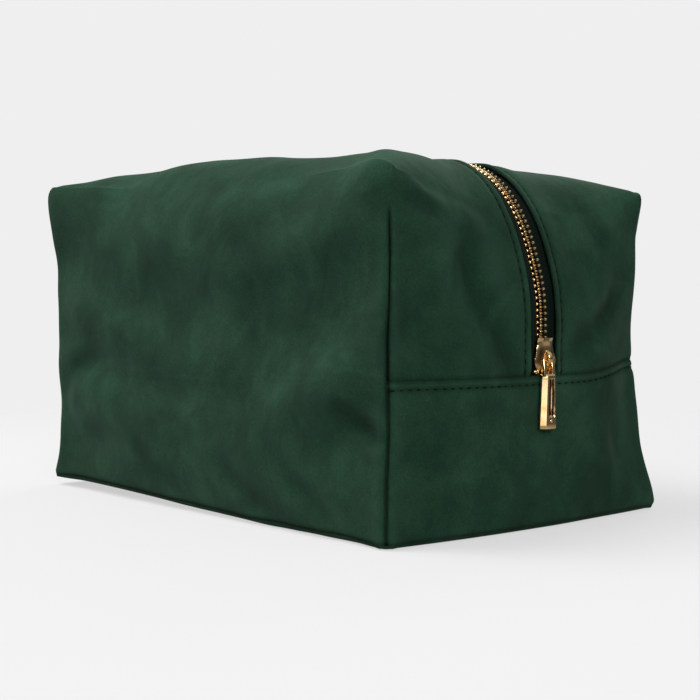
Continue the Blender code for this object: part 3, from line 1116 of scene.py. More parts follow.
def sharp_box(step: float, fine: bool) -> bmesh.types.BMesh:
    """The sharp box cut into a grid, with closer cuts along its seams.

    Args:
        step: The spacing of the grid.
        fine: Whether the seams get their closer cuts.

    Returns:
        The box.
    """
    half = FORM.half
    work = bmesh.new()
    bmesh.ops.create_cube(work, size=1.0)
    bmesh.ops.scale(work, vec=(FORM.length, FORM.width, FORM.height), verts=work.verts)
    bmesh.ops.translate(work, vec=(0, 0, half.z), verts=work.verts)
    seam = FORM.seam_height
    y_fine = [-SEAMS.zip_stitch, -SEAMS.window, SEAMS.window, SEAMS.zip_stitch]
    z_fine = [FORM.base_seam, seam - SEAMS.end_stitch, seam]
    rims = (0.0006, 0.0013, 0.0022, 0.0036, 0.0055)
    edge = [half.y - rim for rim in rims]
    if fine:
        y_cuts = cuts(-half.y, half.y, step, y_fine) + edge + [-e for e in edge]
        z_cuts = cuts(0, FORM.height, step, z_fine)
        x_edge = [half.x - rim for rim in rims]
        x_cuts = cuts(-half.x, half.x, step) + x_edge + [-e for e in x_edge]
    else:
        y_cuts = cuts(-half.y, half.y, step) + [-SEAMS.window, SEAMS.window]
        z_cuts = cuts(0, FORM.height, step) + [seam]
        x_cuts = cuts(-half.x, half.x, step)
    for axis, values in ((0, x_cuts), (1, y_cuts), (2, z_cuts)):
        normal = Vector((0, 0, 0))
        normal[axis] = 1
        for value in sorted(set(round(v, 6) for v in values)):
            geometry = work.verts[:] + work.edges[:] + work.faces[:]
            bmesh.ops.bisect_plane(work, geom=geometry, dist=1e-6, plane_co=normal * value,
                                   plane_no=normal)
    bmesh.ops.recalc_face_normals(work, faces=work.faces)
    return work


def cut_out(box: bmesh.types.BMesh, wanted: Callable[[Vector], bool]) -> bmesh.types.BMesh:
    """A copy of the box with only the faces whose middle is wanted.

    Args:
        box: The sharp box.
        wanted: A test of a face by its middle.

    Returns:
        The copy.
    """
    work = box.copy()
    drop = [f for f in work.faces if not wanted(f.calc_center_median())]
    bmesh.ops.delete(work, geom=drop, context="FACES")
    return work


def tuck(work: bmesh.types.BMesh, height: float, reach: float) -> None:
    """Move a cut edge at a height a little past its seam, so that sewn panels meet.

    Args:
        work: The cut.
        height: The edge's height.
        reach: How far it moves up.
    """
    for vertex in work.verts:
        if abs(vertex.co.z - height) < 1e-6 and vertex.is_boundary:
            vertex.co.z += reach


def to_object(work: bmesh.types.BMesh, name: str, finish: Finish) -> bpy.types.Object:
    """Turn a bmesh into a linked, smooth-shaded object with its finish.

    Args:
        work: The bmesh, which is used up.
        name: The piece's name.
        finish: Its finish.

    Returns:
        The object, at the origin.
    """
    mesh = bpy.data.meshes.new(name)
    work.to_mesh(mesh)
    work.free()
    mesh.shade_smooth()
    piece = bpy.data.objects.new(name, mesh)
    bpy.context.scene.collection.objects.link(piece)
    finish.give(piece)
    return piece


def stretch_ring(work: bmesh.types.BMesh, sides: int, steps: int) -> list[list[bmesh.types.BMVert]]:
    """A unit ring drawn out step by step into a tube, with every step still at the origin.

    Args:
        work: The bmesh that gets it.
        sides: How many points a ring has.
        steps: How many rings there are.

    Returns:
        Each ring's vertices.
    """
    ring = bmesh.ops.create_circle(work, radius=1.0, segments=sides, cap_ends=False)["verts"]
    edges = list({e for v in ring for e in v.link_edges})
    loops = [ring]
    for _ in range(steps - 1):
        made = bmesh.ops.extrude_edge_only(work, edges=edges)["geom"]
        loops.append([g for g in made if isinstance(g, bmesh.types.BMVert)])
        edges = [g for g in made if isinstance(g, bmesh.types.BMEdge)]
    return loops


def close_ends(work: bmesh.types.BMesh, loops: list[list[bmesh.types.BMVert]]) -> None:
    """Close a tube's first and last ring with a face each, and turn its faces outwards.

    Args:
        work: The tube's bmesh.
        loops: Its rings, as stretch_ring gives them.
    """
    for loop in (loops[0], loops[-1]):
        rim = {e for v in loop for e in v.link_edges if all(o in loop for o in e.verts)}
        bmesh.ops.contextual_create(work, geom=list(rim))
    bmesh.ops.recalc_face_normals(work, faces=work.faces)


def lay_copies(single: bmesh.types.BMesh, turns: Iterable[Matrix]) -> bmesh.types.BMesh:
    """Copies of one small shape, each turned and placed, with its attributes.

    Args:
        single: The shape, which is used up.
        turns: A matrix for each copy.

    Returns:
        All the copies.
    """
    proto = bpy.data.meshes.new("single")
    work = bmesh.new()
    for layer in single.verts.layers.float.keys():
        work.verts.layers.float.new(layer)
    single.to_mesh(proto)
    single.free()
    for turn in turns:
        before = len(work.verts)
        work.from_mesh(proto)
        work.verts.ensure_lookup_table()
        bmesh.ops.transform(work, matrix=turn, verts=work.verts[before:])
    bpy.data.meshes.remove(proto)
    return work


def round_edges(piece: bpy.types.Object, width: float, least_deg: float) -> None:
    """Round a piece's sharper edges.

    Args:
        piece: The piece.
        width: The bevel's width.
        least_deg: The smallest angle that counts as an edge, in degrees.
    """
    edge = piece.modifiers.new("edges", "BEVEL")
    edge.width = width
    edge.segments = 2
    edge.limit_method = "ANGLE"
    edge.angle_limit = math.radians(least_deg)


def thicken(piece: bpy.types.Object, thickness: float, levels: int) -> None:
    """Give a surface its thickness inwards, then soften its edges.

    Args:
        piece: The surface.
        thickness: The wall's thickness.
        levels: Levels of subdivision, or 0 for none.
    """
    wall = piece.modifiers.new("thickness", "SOLIDIFY")
    wall.thickness = thickness
    wall.offset = -1
    wall.use_rim = True
    if levels:
        soft = piece.modifiers.new("soft", "SUBSURF")
        soft.levels = levels
        soft.render_levels = levels


def soften(work: bmesh.types.BMesh, inset: float, raised: bool, scale: float = 1.0) -> None:
    """Move a cut of the sharp box onto the soft form.

    Args:
        work: The cut, whose vertices are still on the sharp box.
        inset: Depth below the outer face.
        raised: Whether the relief of seams and creases, with its painted shade and highlight, is added.
        scale: Share of the relief.
    """
    sharp = [v.co.copy() for v in work.verts]
    for vertex in work.verts:
        vertex.co = FORM.place(vertex.co.x, vertex.co.y, vertex.co.z, inset)
    if not raised:
        return
    work.normal_update()
    # The painted shade and highlight of seams and creases go into a vertex attribute.
    nap_and_shade = work.verts.layers.float.new(PAINTED_SHADE_LAYER)
    for vertex, old in zip(work.verts, sharp):
        high, painted_shading = relief(*old)
        vertex.co += vertex.normal * high * scale
        vertex.co.z = max(vertex.co.z, FORM.clearance)
        vertex[nap_and_shade] = painted_shading


def bend_with(piece: bpy.types.Object, half: Half) -> None:
    """Let a piece of one half lean out with its top when the bag opens.

    Args:
        piece: The piece.
        half: Its half.
    """
    start = (0, 0, FORM.seam_height)
    end = (0, 0, FORM.height - 0.012)
    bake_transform(piece, ROOT, f"{half.word}_top", start=start, end=end)


def long_panel(half: Half, foot: float) -> Callable[[Vector], bool]:
    """A test for one half's faces: its side, its half of the top and of both upper ends.

    Args:
        half: The half.
        foot: Height at which the panel starts.

    Returns:
        A test of a sharp box face by its middle.
    """

    def wanted(place: Vector) -> bool:
        """Whether the face is in the panel."""
        on_end = abs(place.x) > FORM.half.x - ON_FACE
        if place.y * half.value < SEAMS.window or place.z < foot:
            return False
        return not on_end or place.z > FORM.seam_height

    return wanted


def lower_end(end: End, foot: float) -> Callable[[Vector], bool]:
    """A test for the faces of one lower end.

    Args:
        end: The end.
        foot: Height at which it starts.

    Returns:
        A test of a sharp box face by its middle.
    """

    def wanted(place: Vector) -> bool:
        """Whether the face is in the lower end."""
        on_end = place.x * end.value > FORM.half.x - ON_FACE
        return on_end and foot < place.z < FORM.seam_height

    return wanted


@dataclass
class Shell:
    """The suede shell: two long panels, two lower end panels and the base."""

    thickness: float = 0.0016
    step: float = 0.0045
    tuck: float = 0.00055
    wrap: float = 0.0011
    levels: int = 1

    def build(self, box: bmesh.types.BMesh) -> list[bpy.types.Object]:
        """Cut, soften and thicken every panel.

        Args:
            box: The sharp box, cut into its grid.

        Returns:
            The pieces.
        """
        made = []
        for half in Half:
            work = cut_out(box, long_panel(half, FORM.base_seam))
            tuck(work, FORM.seam_height, -self.tuck)
            tuck(work, FORM.base_seam, -self.tuck)
            soften(work, 0.0, True)
            piece = to_object(work, f"{half.word}_suede_panel", SUEDE)
            thicken(piece, self.thickness, self.levels)
            word = half.word
            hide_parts(f"{word}_panel", f"{word}_upper_panel", f"{word}_top_panel")
            bend_with(piece, half)
            made.append(piece)
        for end in End:
            work = cut_out(box, lower_end(end, FORM.base_seam))
            tuck(work, FORM.seam_height, self.tuck)
            tuck(work, FORM.base_seam, -self.tuck)
            for vertex in work.verts:
                if abs(vertex.co.y) > FORM.half.y - ON_FACE:
                    vertex.co.x -= end.value * self.wrap
            soften(work, 0.0, True)
            piece = to_object(work, f"{end.word}_end_suede_panel", SUEDE)
            thicken(piece, self.thickness, self.levels)
            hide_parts(f"{end.word}_end_panel")
            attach(piece, ROOT)
            made.append(piece)
        work = cut_out(box, lambda place: place.z < FORM.base_seam)
        tuck(work, FORM.base_seam, self.tuck)
        soften(work, 0.0, True)
        piece = to_object(work, "base_suede_panel", SUEDE)
        thicken(piece, self.thickness, self.levels)
        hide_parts("base_panel")
        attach(piece, ROOT)
        made.append(piece)
        return made


@dataclass
class InnerLayers:
    """Foam padding, lining, stiffener board and slip pocket, offset inwards from the shell."""

    padding_inset: float = 0.0022
    padding: float = 0.0014
    padding_foot: float = 0.0016
    lining_inset: float = 0.0061
    lining: float = 0.0005
    lining_edge: float = 0.0062
    padding_edge: float = 0.0205
    board_inset: float = 0.0018
    board_thickness: float = 0.0014
    board_margin: float = 0.0090
    floor_inset: float = 0.0036
    pocket_inset: float = 0.0075
    step: float = 0.0060

    def layer(self, box: bmesh.types.BMesh, half: Half, inset: float, edge: float,
              foot: float) -> bmesh.types.BMesh:
        """One half's layer: its side, its upper half ends and its half of the top.

        Args:
            box: The sharp box, cut into its grid.
            half: The half.
            inset: Depth below the outer face.
            edge: How far from the zip's middle it ends.
            foot: Height at which it starts.

        Returns:
            The layer as a surface.
        """
        work = cut_out(box, long_panel(half, foot))
        for vertex in work.verts:
            if abs(abs(vertex.co.y) - SEAMS.window) < ON_FACE:
                vertex.co.y = half.value * edge
        soften(work, inset, True, 0.4)
        return work

    def build(self, box: bmesh.types.BMesh) -> list[bpy.types.Object]:
        """Build both layers of both halves, the lower ends and the floor.

        Args:
            box: The sharp box, cut into its grid.

        Returns:
            The pieces.
        """
        made = []
        for half in Half:
            word = half.word
            for kind, inset, thick, edge, foot, finish in (
                ("padding", self.padding_inset, self.padding, self.padding_edge, self.padding_foot, FOAM),
                ("lining", self.lining_inset, self.lining, self.lining_edge, 0.0, LINING),
            ):
                work = self.layer(box, half, inset, edge, foot)
                piece = to_object(work, f"{word}_half_{kind}", finish)
                thicken(piece, thick, 0)
                nodes = [f"{word}_{part}{kind}" for part in ("", "upper_", "top_")]
                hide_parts(*nodes)
                bend_with(piece, half)
                made.append(piece)
        for end in End:
            for kind, inset, thick, foot, finish in (
                ("padding", self.padding_inset, self.padding, self.padding_foot, FOAM),
                ("lining", self.lining_inset, self.lining, 0.0, LINING),
            ):
                work = cut_out(box, lower_end(end, foot))
                soften(work, inset, True, 0.4)
                piece = to_object(work, f"{end.word}_end_{kind}_layer", finish)
                thicken(piece, thick, 0)
                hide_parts(f"{end.word}_end_{kind}")
                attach(piece, ROOT)
                made.append(piece)
        made.append(self.board(box))
        made.append(self.floor(box))
        made.append(self.pocket())
        return made

    def board(self, box: bmesh.types.BMesh) -> bpy.types.Object:
        """The base stiffener, a flat board between the shell and the floor's lining.

        Args:
            box: The sharp box, cut into its grid.

        Returns:
            The piece.
        """
        reach = FORM.half - Vector((self.board_margin, self.board_margin, 0))
        work = cut_out(box, lambda place: place.z < ON_FACE and abs(place.x) < reach.x
                       and abs(place.y) < reach.y)
        soften(work, self.board_inset, False)
        piece = to_object(work, "stiffener_board", BOARD)
        thicken(piece, self.board_thickness, 0)
        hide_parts("base_board")
        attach(piece, ROOT)
        return piece

    def floor(self, box: bmesh.types.BMesh) -> bpy.types.Object:
        """The lining of the floor, lying on the stiffener board.

        Args:
            box: The sharp box, cut into its grid.

        Returns:
            The piece.
        """
        work = cut_out(box, lambda place: place.z < ON_FACE)
        soften(work, self.floor_inset, False)
        for vertex in work.verts:
            spot = Vector((vertex.co.x, vertex.co.y, 0)) * 40
            vertex.co.z += 0.0003 + 0.0003 * noise.noise(spot)
        piece = to_object(work, "floor_lining_layer", LINING)
        thicken(piece, self.lining, 0)
        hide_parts("base_lining")
        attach(piece, ROOT)
        return piece

    def pocket(self) -> bpy.types.Object:
        """A slip pocket on the back lining, its mouth hanging a little open under a rolled hem.

        Returns:
            The piece.
        """
        low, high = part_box("slip_pocket")
        columns, rows = 40, 14
        work = bmesh.new()
        bmesh.ops.create_grid(work, x_segments=columns, y_segments=rows, size=0.5)
        for vertex in work.verts:
            across = vertex.co.x + 0.5
            up = vertex.co.y + 0.5
            x = low.x + (high.x - low.x) * across
            z = low.z + (high.z - low.z) * up
            belly = math.sin(math.pi * across) ** 0.5 * up ** 2 * 0.0022
            ripple = 0.0005 * math.sin(across * 26) * up * math.sin(math.pi * across)
            roll = 0.0006 * bell(up - 0.93, 0.06)
            here = FORM.place(x, FORM.half.y, z, self.pocket_inset)
            vertex.co = here + Vector((0, -(belly + ripple + roll), 0))
        bmesh.ops.recalc_face_normals(work, faces=work.faces)
        if sum(f.normal.y for f in work.faces) > 0:
            bmesh.ops.reverse_faces(work, faces=work.faces)
        piece = to_object(work, "lining_slip_pocket", LINING)
        thicken(piece, self.lining, 1)
        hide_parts("slip_pocket")
        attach(piece, ROOT)
        return piece


# ---------------------------------------------------------------------------
# Zip
# ---------------------------------------------------------------------------


@dataclass
class ZipPath:
    """The zip's way up one end, over the top and down the other, on the sharp box."""

    foot: float = FORM.seam_height - 0.002
    walk: float = 0.0005

    def __post_init__(self) -> None:
        """Walk the zip and note the distance, box place and direction at every half millimetre."""
        self.stations: list[tuple[float, float, float, Vector]] = []
        half = FORM.half
        leg = FORM.height - self.foot
        top = FORM.length
        total = 2 * leg + top
        count = int(total / self.walk)
        run = 0.0
        last = None
        for i in range(count + 1):
            s = total * i / count
            if s <= leg:
                x, z, along = half.x, self.foot + s, Vector((0, 0, 1))
            elif s <= leg + top:
                x, z, along = half.x - (s - leg), FORM.height, Vector((-1, 0, 0))
            else:
                x, z, along = -half.x, FORM.height - (s - leg - top), Vector((0, 0, -1))
            here = FORM.place(x, 0.0, z)
            if last is not None:
                run += (here - last).length
            last = here
            self.stations.append((run, x, z, along))
        self.length = run

    def at(self, run: float) -> tuple[float, float, Vector]:
        """Sharp box x, z and direction at a distance along the zip.

        Args:
            run: The distance from the right foot, in metres.

        Returns:
            x, z and the unit direction.
        """
        low, high = 0, len(self.stations) - 1
        while high - low > 1:
            middle = (low + high) // 2
            if self.stations[middle][0] <= run:
                low = middle
            else:
                high = middle
        a, b = self.stations[low], self.stations[high]
        share = min(max((run - a[0]) / max(b[0] - a[0], 1e-9), 0.0), 1.0)
        return a[1] + (b[1] - a[1]) * share, a[2] + (b[2] - a[2]) * share, a[3]

    def frame(self, run: float, y: float, inset: float) -> tuple[Vector, Vector, Vector]:
        """Place, tangent and outward normal on the zip.

        Args:
            run: The distance from the right foot.
            y: Across the bag.
            inset: Depth below the outer face.

        Returns:
            The place, the unit tangent and the unit normal.
        """
        x, z, along = self.at(run)
        return FORM.frame_at(x, y, z, inset, along)


# Along a tooth: its place from the zip's middle, half width along the chain and half depth.
TOOTH_STATIONS = (
    (-0.00310, 0.00052, 0.00095),
    (-0.00275, 0.00078, 0.00142),
    (-0.00220, 0.00072, 0.00132),
    (-0.00170, 0.00046, 0.00074),
    (-0.00095, 0.00046, 0.00070),
    (-0.00040, 0.00058, 0.00100),
    (0.00035, 0.00054, 0.00096),
    (0.00075, 0.00026, 0.00050),
)


@dataclass
class ZipChain:
    """Tapes, teeth and bottom stops of a size 5 metal zip."""

    path: ZipPath
    inset: float = 0.0020
    tape_drop: float = 0.0011
    pitch: float = 0.0025
    tape_edge: float = 0.0165
    tape_thickness: float = 0.0006
    bead: float = 0.0022
    first_tooth: float = 0.0030
    tooth_sides: int = 8
    waist_depth: float = 0.0008

    def tape(self, half: Half) -> bpy.types.Object:
        """One woven tape, which dips from its bead under the folded cloth edge.

        Args:
            half: The tape's half.

        Returns:
            The piece.
        """
        columns = int(self.path.length / 0.0025)
        rows = 9
        work = bmesh.new()
        bmesh.ops.create_grid(work, x_segments=columns, y_segments=rows, size=0.5)
        uv = work.loops.layers.uv.new("UVMap")
        sizes = {}
        for vertex in work.verts:
            run = (vertex.co.x + 0.5) * self.path.length
            share = vertex.co.y + 0.5
            y = half.value * (self.bead + (self.tape_edge - self.bead) * share)
            here, _, normal = self.path.frame(run, y, self.inset)
            drop = self.tape_drop * smooth(abs(y), 0.0035, 0.0080)
            vertex.co = here + normal * (self.tape_thickness / 2 - drop)
            sizes[vertex] = (run, abs(y))
        for face in work.faces:
            for loop in face.loops:
                loop[uv].uv = sizes[loop.vert]
        bmesh.ops.recalc_face_normals(work, faces=work.faces)
        outward = sum((f.normal.z for f in work.faces if f.calc_center_median().z > 0.14), 0.0)
        if outward < 0:
            bmesh.ops.reverse_faces(work, faces=work.faces)
        piece = to_object(work, f"{half.word}_zip_tape", TAPE)
        thicken(piece, self.tape_thickness, 0)
        word = half.word
        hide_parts(f"{word}_right_tape", f"{word}_top_tape", f"{word}_left_tape")
        bend_with(piece, half)
        return piece

    def tooth(self) -> bmesh.types.BMesh:
        """One cast tooth: X along the chain, -Y to its tape, Z outwards.

        Its tape end is a round bead and its body narrows and sinks to a nose past the middle.

        Returns:
            The tooth.
        """
        work = bmesh.new()
        recess_shade = work.verts.layers.float.new(PAINTED_RECESS_SHADE)
        loops = stretch_ring(work, self.tooth_sides, len(TOOTH_STATIONS))
        for (y, wide, deep), loop in zip(TOOTH_STATIONS, loops):
            for vertex in loop:
                vertex.co = Vector((vertex.co.x * wide, y, vertex.co.y * deep))
                # Painted shade on the tooth's sunken waist.
                vertex[recess_shade] = 1.0 if deep < self.waist_depth else 0.0
        close_ends(work, loops)
        return work

    def teeth(self, half: Half) -> bpy.types.Object:
        """One row of teeth, each turned to the chain's run.

        Args:
            half: The row's half.

        Returns:
            The piece.
        """
        turns = []
        phase = 0.25 if half is Half.FRONT else 0.75
        count = int((self.path.length - 2 * self.first_tooth) / self.pitch)
        for i in range(count):
            run = self.first_tooth + (i + phase) * self.pitch
            here, tangent, normal = self.path.frame(run, 0.0, self.inset)
            across = normal.cross(tangent)
            side = 1 if across.y * half.value < 0 else -1
            turn = Matrix((tangent * side, across * side, normal)).transposed().to_4x4()
            turns.append(Matrix.Translation(here) @ turn)
        piece = to_object(lay_copies(self.tooth(), turns), f"{half.word}_zip_teeth", GOLD)
        piece.data.set_sharp_from_angle(angle=math.radians(75))
        word = half.word
        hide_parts(f"{word}_right_teeth", f"{word}_top_teeth", f"{word}_left_teeth")
        bend_with(piece, half)
        return piece

    def stop(self, end: End) -> bpy.types.Object:
        """The bottom stop: a bar crimped round both tapes, with a pressed waist.

        Args:
            end: The stop's end.

        Returns:
            The piece.
        """
        low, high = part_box(f"{end.word}_zip_stop")
        work = bmesh.new()
        bmesh.ops.create_cube(work, size=1.0)
        bmesh.ops.subdivide_edges(work, edges=work.edges[:], cuts=3, use_grid_fill=True)
        for vertex in work.verts:
            pinch = 1 - 0.22 * bell(vertex.co.y, 0.16)
            vertex.co.z *= pinch
            vertex.co.x *= pinch
        bmesh.ops.scale(work, vec=high - low, verts=work.verts)
        bmesh.ops.translate(work, vec=(low + high) / 2, verts=work.verts)
        rim = [e for e in work.edges if e.calc_face_angle(0) > 1.0]
        bmesh.ops.bevel(work, geom=rim, offset=0.0004, segments=3, profile=0.5, affect="EDGES",
                        material=-1)
        piece = to_object(work, f"{end.word}_crimped_stop", GOLD)
        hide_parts(f"{end.word}_zip_stop")
        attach(piece, ROOT)
        return piece

    def build(self) -> list[bpy.types.Object]:
        """Both tapes, both rows and both stops.

        Returns:
            The pieces.
        """
        made = []
        for half in Half:
            made.append(self.tape(half))
            made.append(self.teeth(half))
        for end in End:
            made.append(self.stop(end))
        return made


@dataclass
class Stitching:
    """Topstitches beside the zip and under the end seams."""

    path: ZipPath
    sink: float = 0.00008
    sides: int = 6
    rings: int = 5

    def stitch(self) -> bmesh.types.BMesh:
        """One short length of thread along X, its tips dipping along -Z into the cloth.

        Returns:
            The stitch.
        """
        work = bmesh.new()
        bmesh.ops.create_uvsphere(work, u_segments=self.sides, v_segments=self.rings, radius=0.5)
        bmesh.ops.rotate(work, cent=(0, 0, 0), matrix=Matrix.Rotation(math.pi / 2, 3, "Y"),
                         verts=work.verts)
        for vertex in work.verts:
            along = vertex.co.x * 2
            fat = 1 if abs(along) > 0.999 else min(1.25, (1 - along ** 6) / (1 - along ** 2) ** 0.5)
            vertex.co.y *= fat * SEAMS.thread
            vertex.co.z *= fat * SEAMS.thread
            vertex.co.z -= SEAMS.thread * 0.8 * along ** 4
            vertex.co.x *= SEAMS.stitch_length
        return work

    def run(self, name: str, places: list[tuple[Vector, Vector, Vector]]) -> bpy.types.Object:
        """A row of stitches as one piece, at places with a tangent and a normal each.

        Args:
            name: The piece's name.
            places: Each stitch's place, tangent and normal.

        Returns:
            The piece.
        """
        turns = []
        for here, tangent, normal in places:
            across = normal.cross(tangent).normalized()
            turn = Matrix((tangent, across, normal)).transposed().to_4x4()
            turns.append(Matrix.Translation(here - normal * self.sink) @ turn)
        return to_object(lay_copies(self.stitch(), turns), name, THREAD)

    def on_cloth(self, x: float, y: float, z: float, along: Vector) -> tuple[Vector, Vector, Vector]:
        """Place, tangent and normal on the cloth with its relief.

        Args:
            x: Along the bag.
            y: Across it.
            z: Height.
            along: Direction of the tangent on the sharp box.

        Returns:
            The place, the unit tangent and the unit normal.
        """
        here, tangent, normal = FORM.frame_at(x, y, z, 0.0, along)
        return here + normal * relief(x, y, z)[0], tangent, normal

    def beside_zip(self, half: Half) -> bpy.types.Object:
        """The long topstitch that holds one tape.

        Args:
            half: The tape's half.

        Returns:
            The piece.
        """
        places = []
        count = int((self.path.length - 0.004) / SEAMS.stitch_pitch)
        for i in range(count):
            x, z, along = self.path.at(0.004 + i * SEAMS.stitch_pitch)
            places.append(self.on_cloth(x, half.value * SEAMS.zip_stitch, z, along))
        piece = self.run(f"{half.word}_zip_topstitch", places)
        bend_with(piece, half)
        return piece

    def under_seam(self, end: End) -> bpy.types.Object:
        """The topstitch on the lower end panel, just under the end seam.

        Args:
            end: The panel's end.

        Returns:
            The piece.
        """
        places = []
        span = FORM.width / 2 - 0.003
        count = int(2 * span / SEAMS.stitch_pitch)
        z = FORM.seam_height - SEAMS.end_stitch
        for i in range(count + 1):
            y = -span + 2 * span * i / count
            x = end.value * FORM.half.x
            here = FORM.place(x, y, z)
            step = FORM.place(x, y + 0.001, z) - FORM.place(x, y - 0.001, z)
            rise = FORM.place(x, y, z + 0.001) - FORM.place(x, y, z - 0.001)
            tangent = step.normalized()
            normal = tangent.cross(rise).normalized()
            if normal.x * end.value < 0:
                normal.negate()
            places.append((here + normal * relief(x, y, z)[0], tangent, normal))
        piece = self.run(f"{end.word}_seam_topstitch", places)
        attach(piece, ROOT)
        return piece

    def build(self) -> list[bpy.types.Object]:
        """All four rows."""
        return [self.beside_zip(half) for half in Half] + [self.under_seam(end) for end in End]


# ---------------------------------------------------------------------------
# Slider and pull
# ---------------------------------------------------------------------------


# Round the bar's section: share of its half width, share of its thickness, and how far the
# groove sinks there. A fine ridge runs down the groove's middle.
BAR_SECTION = (
    (1.0, 0.0, 0.0), (1.0, 0.30, 0.0), (0.66, 0.94, 0.0), (0.44, 1.04, 0.0), (0.36, 1.04, 0.17),
    (0.08, 1.04, 0.17), (0.0, 1.04, 0.02), (-0.08, 1.04, 0.17), (-0.36, 1.04, 0.17),
    (-0.44, 1.04, 0.0), (-0.66, 0.94, 0.0), (-1.0, 0.30, 0.0), (-1.0, 0.0, 0.0), (-0.5, 0.0, 0.0),
    (0.0, 0.0, 0.0), (0.5, 0.0, 0.0),
)

# The slider plate's half width, as a share of the slider's, from its foot at 0 to its head at 1.
PLATE_OUTLINE = ((0.0, 0.92), (0.07, 0.95), (0.34, 1.27), (0.64, 1.05), (0.82, 0.90), (1.0, 0.94))
# Where along the grip, from its top at 0 to its foot at 1, the section is set.
BAR_STATIONS = (0.0, 0.012, 0.03, 0.08, 0.11, 0.35, 0.55, 0.74, 0.78, 0.90, 0.96, 0.985, 1.0)


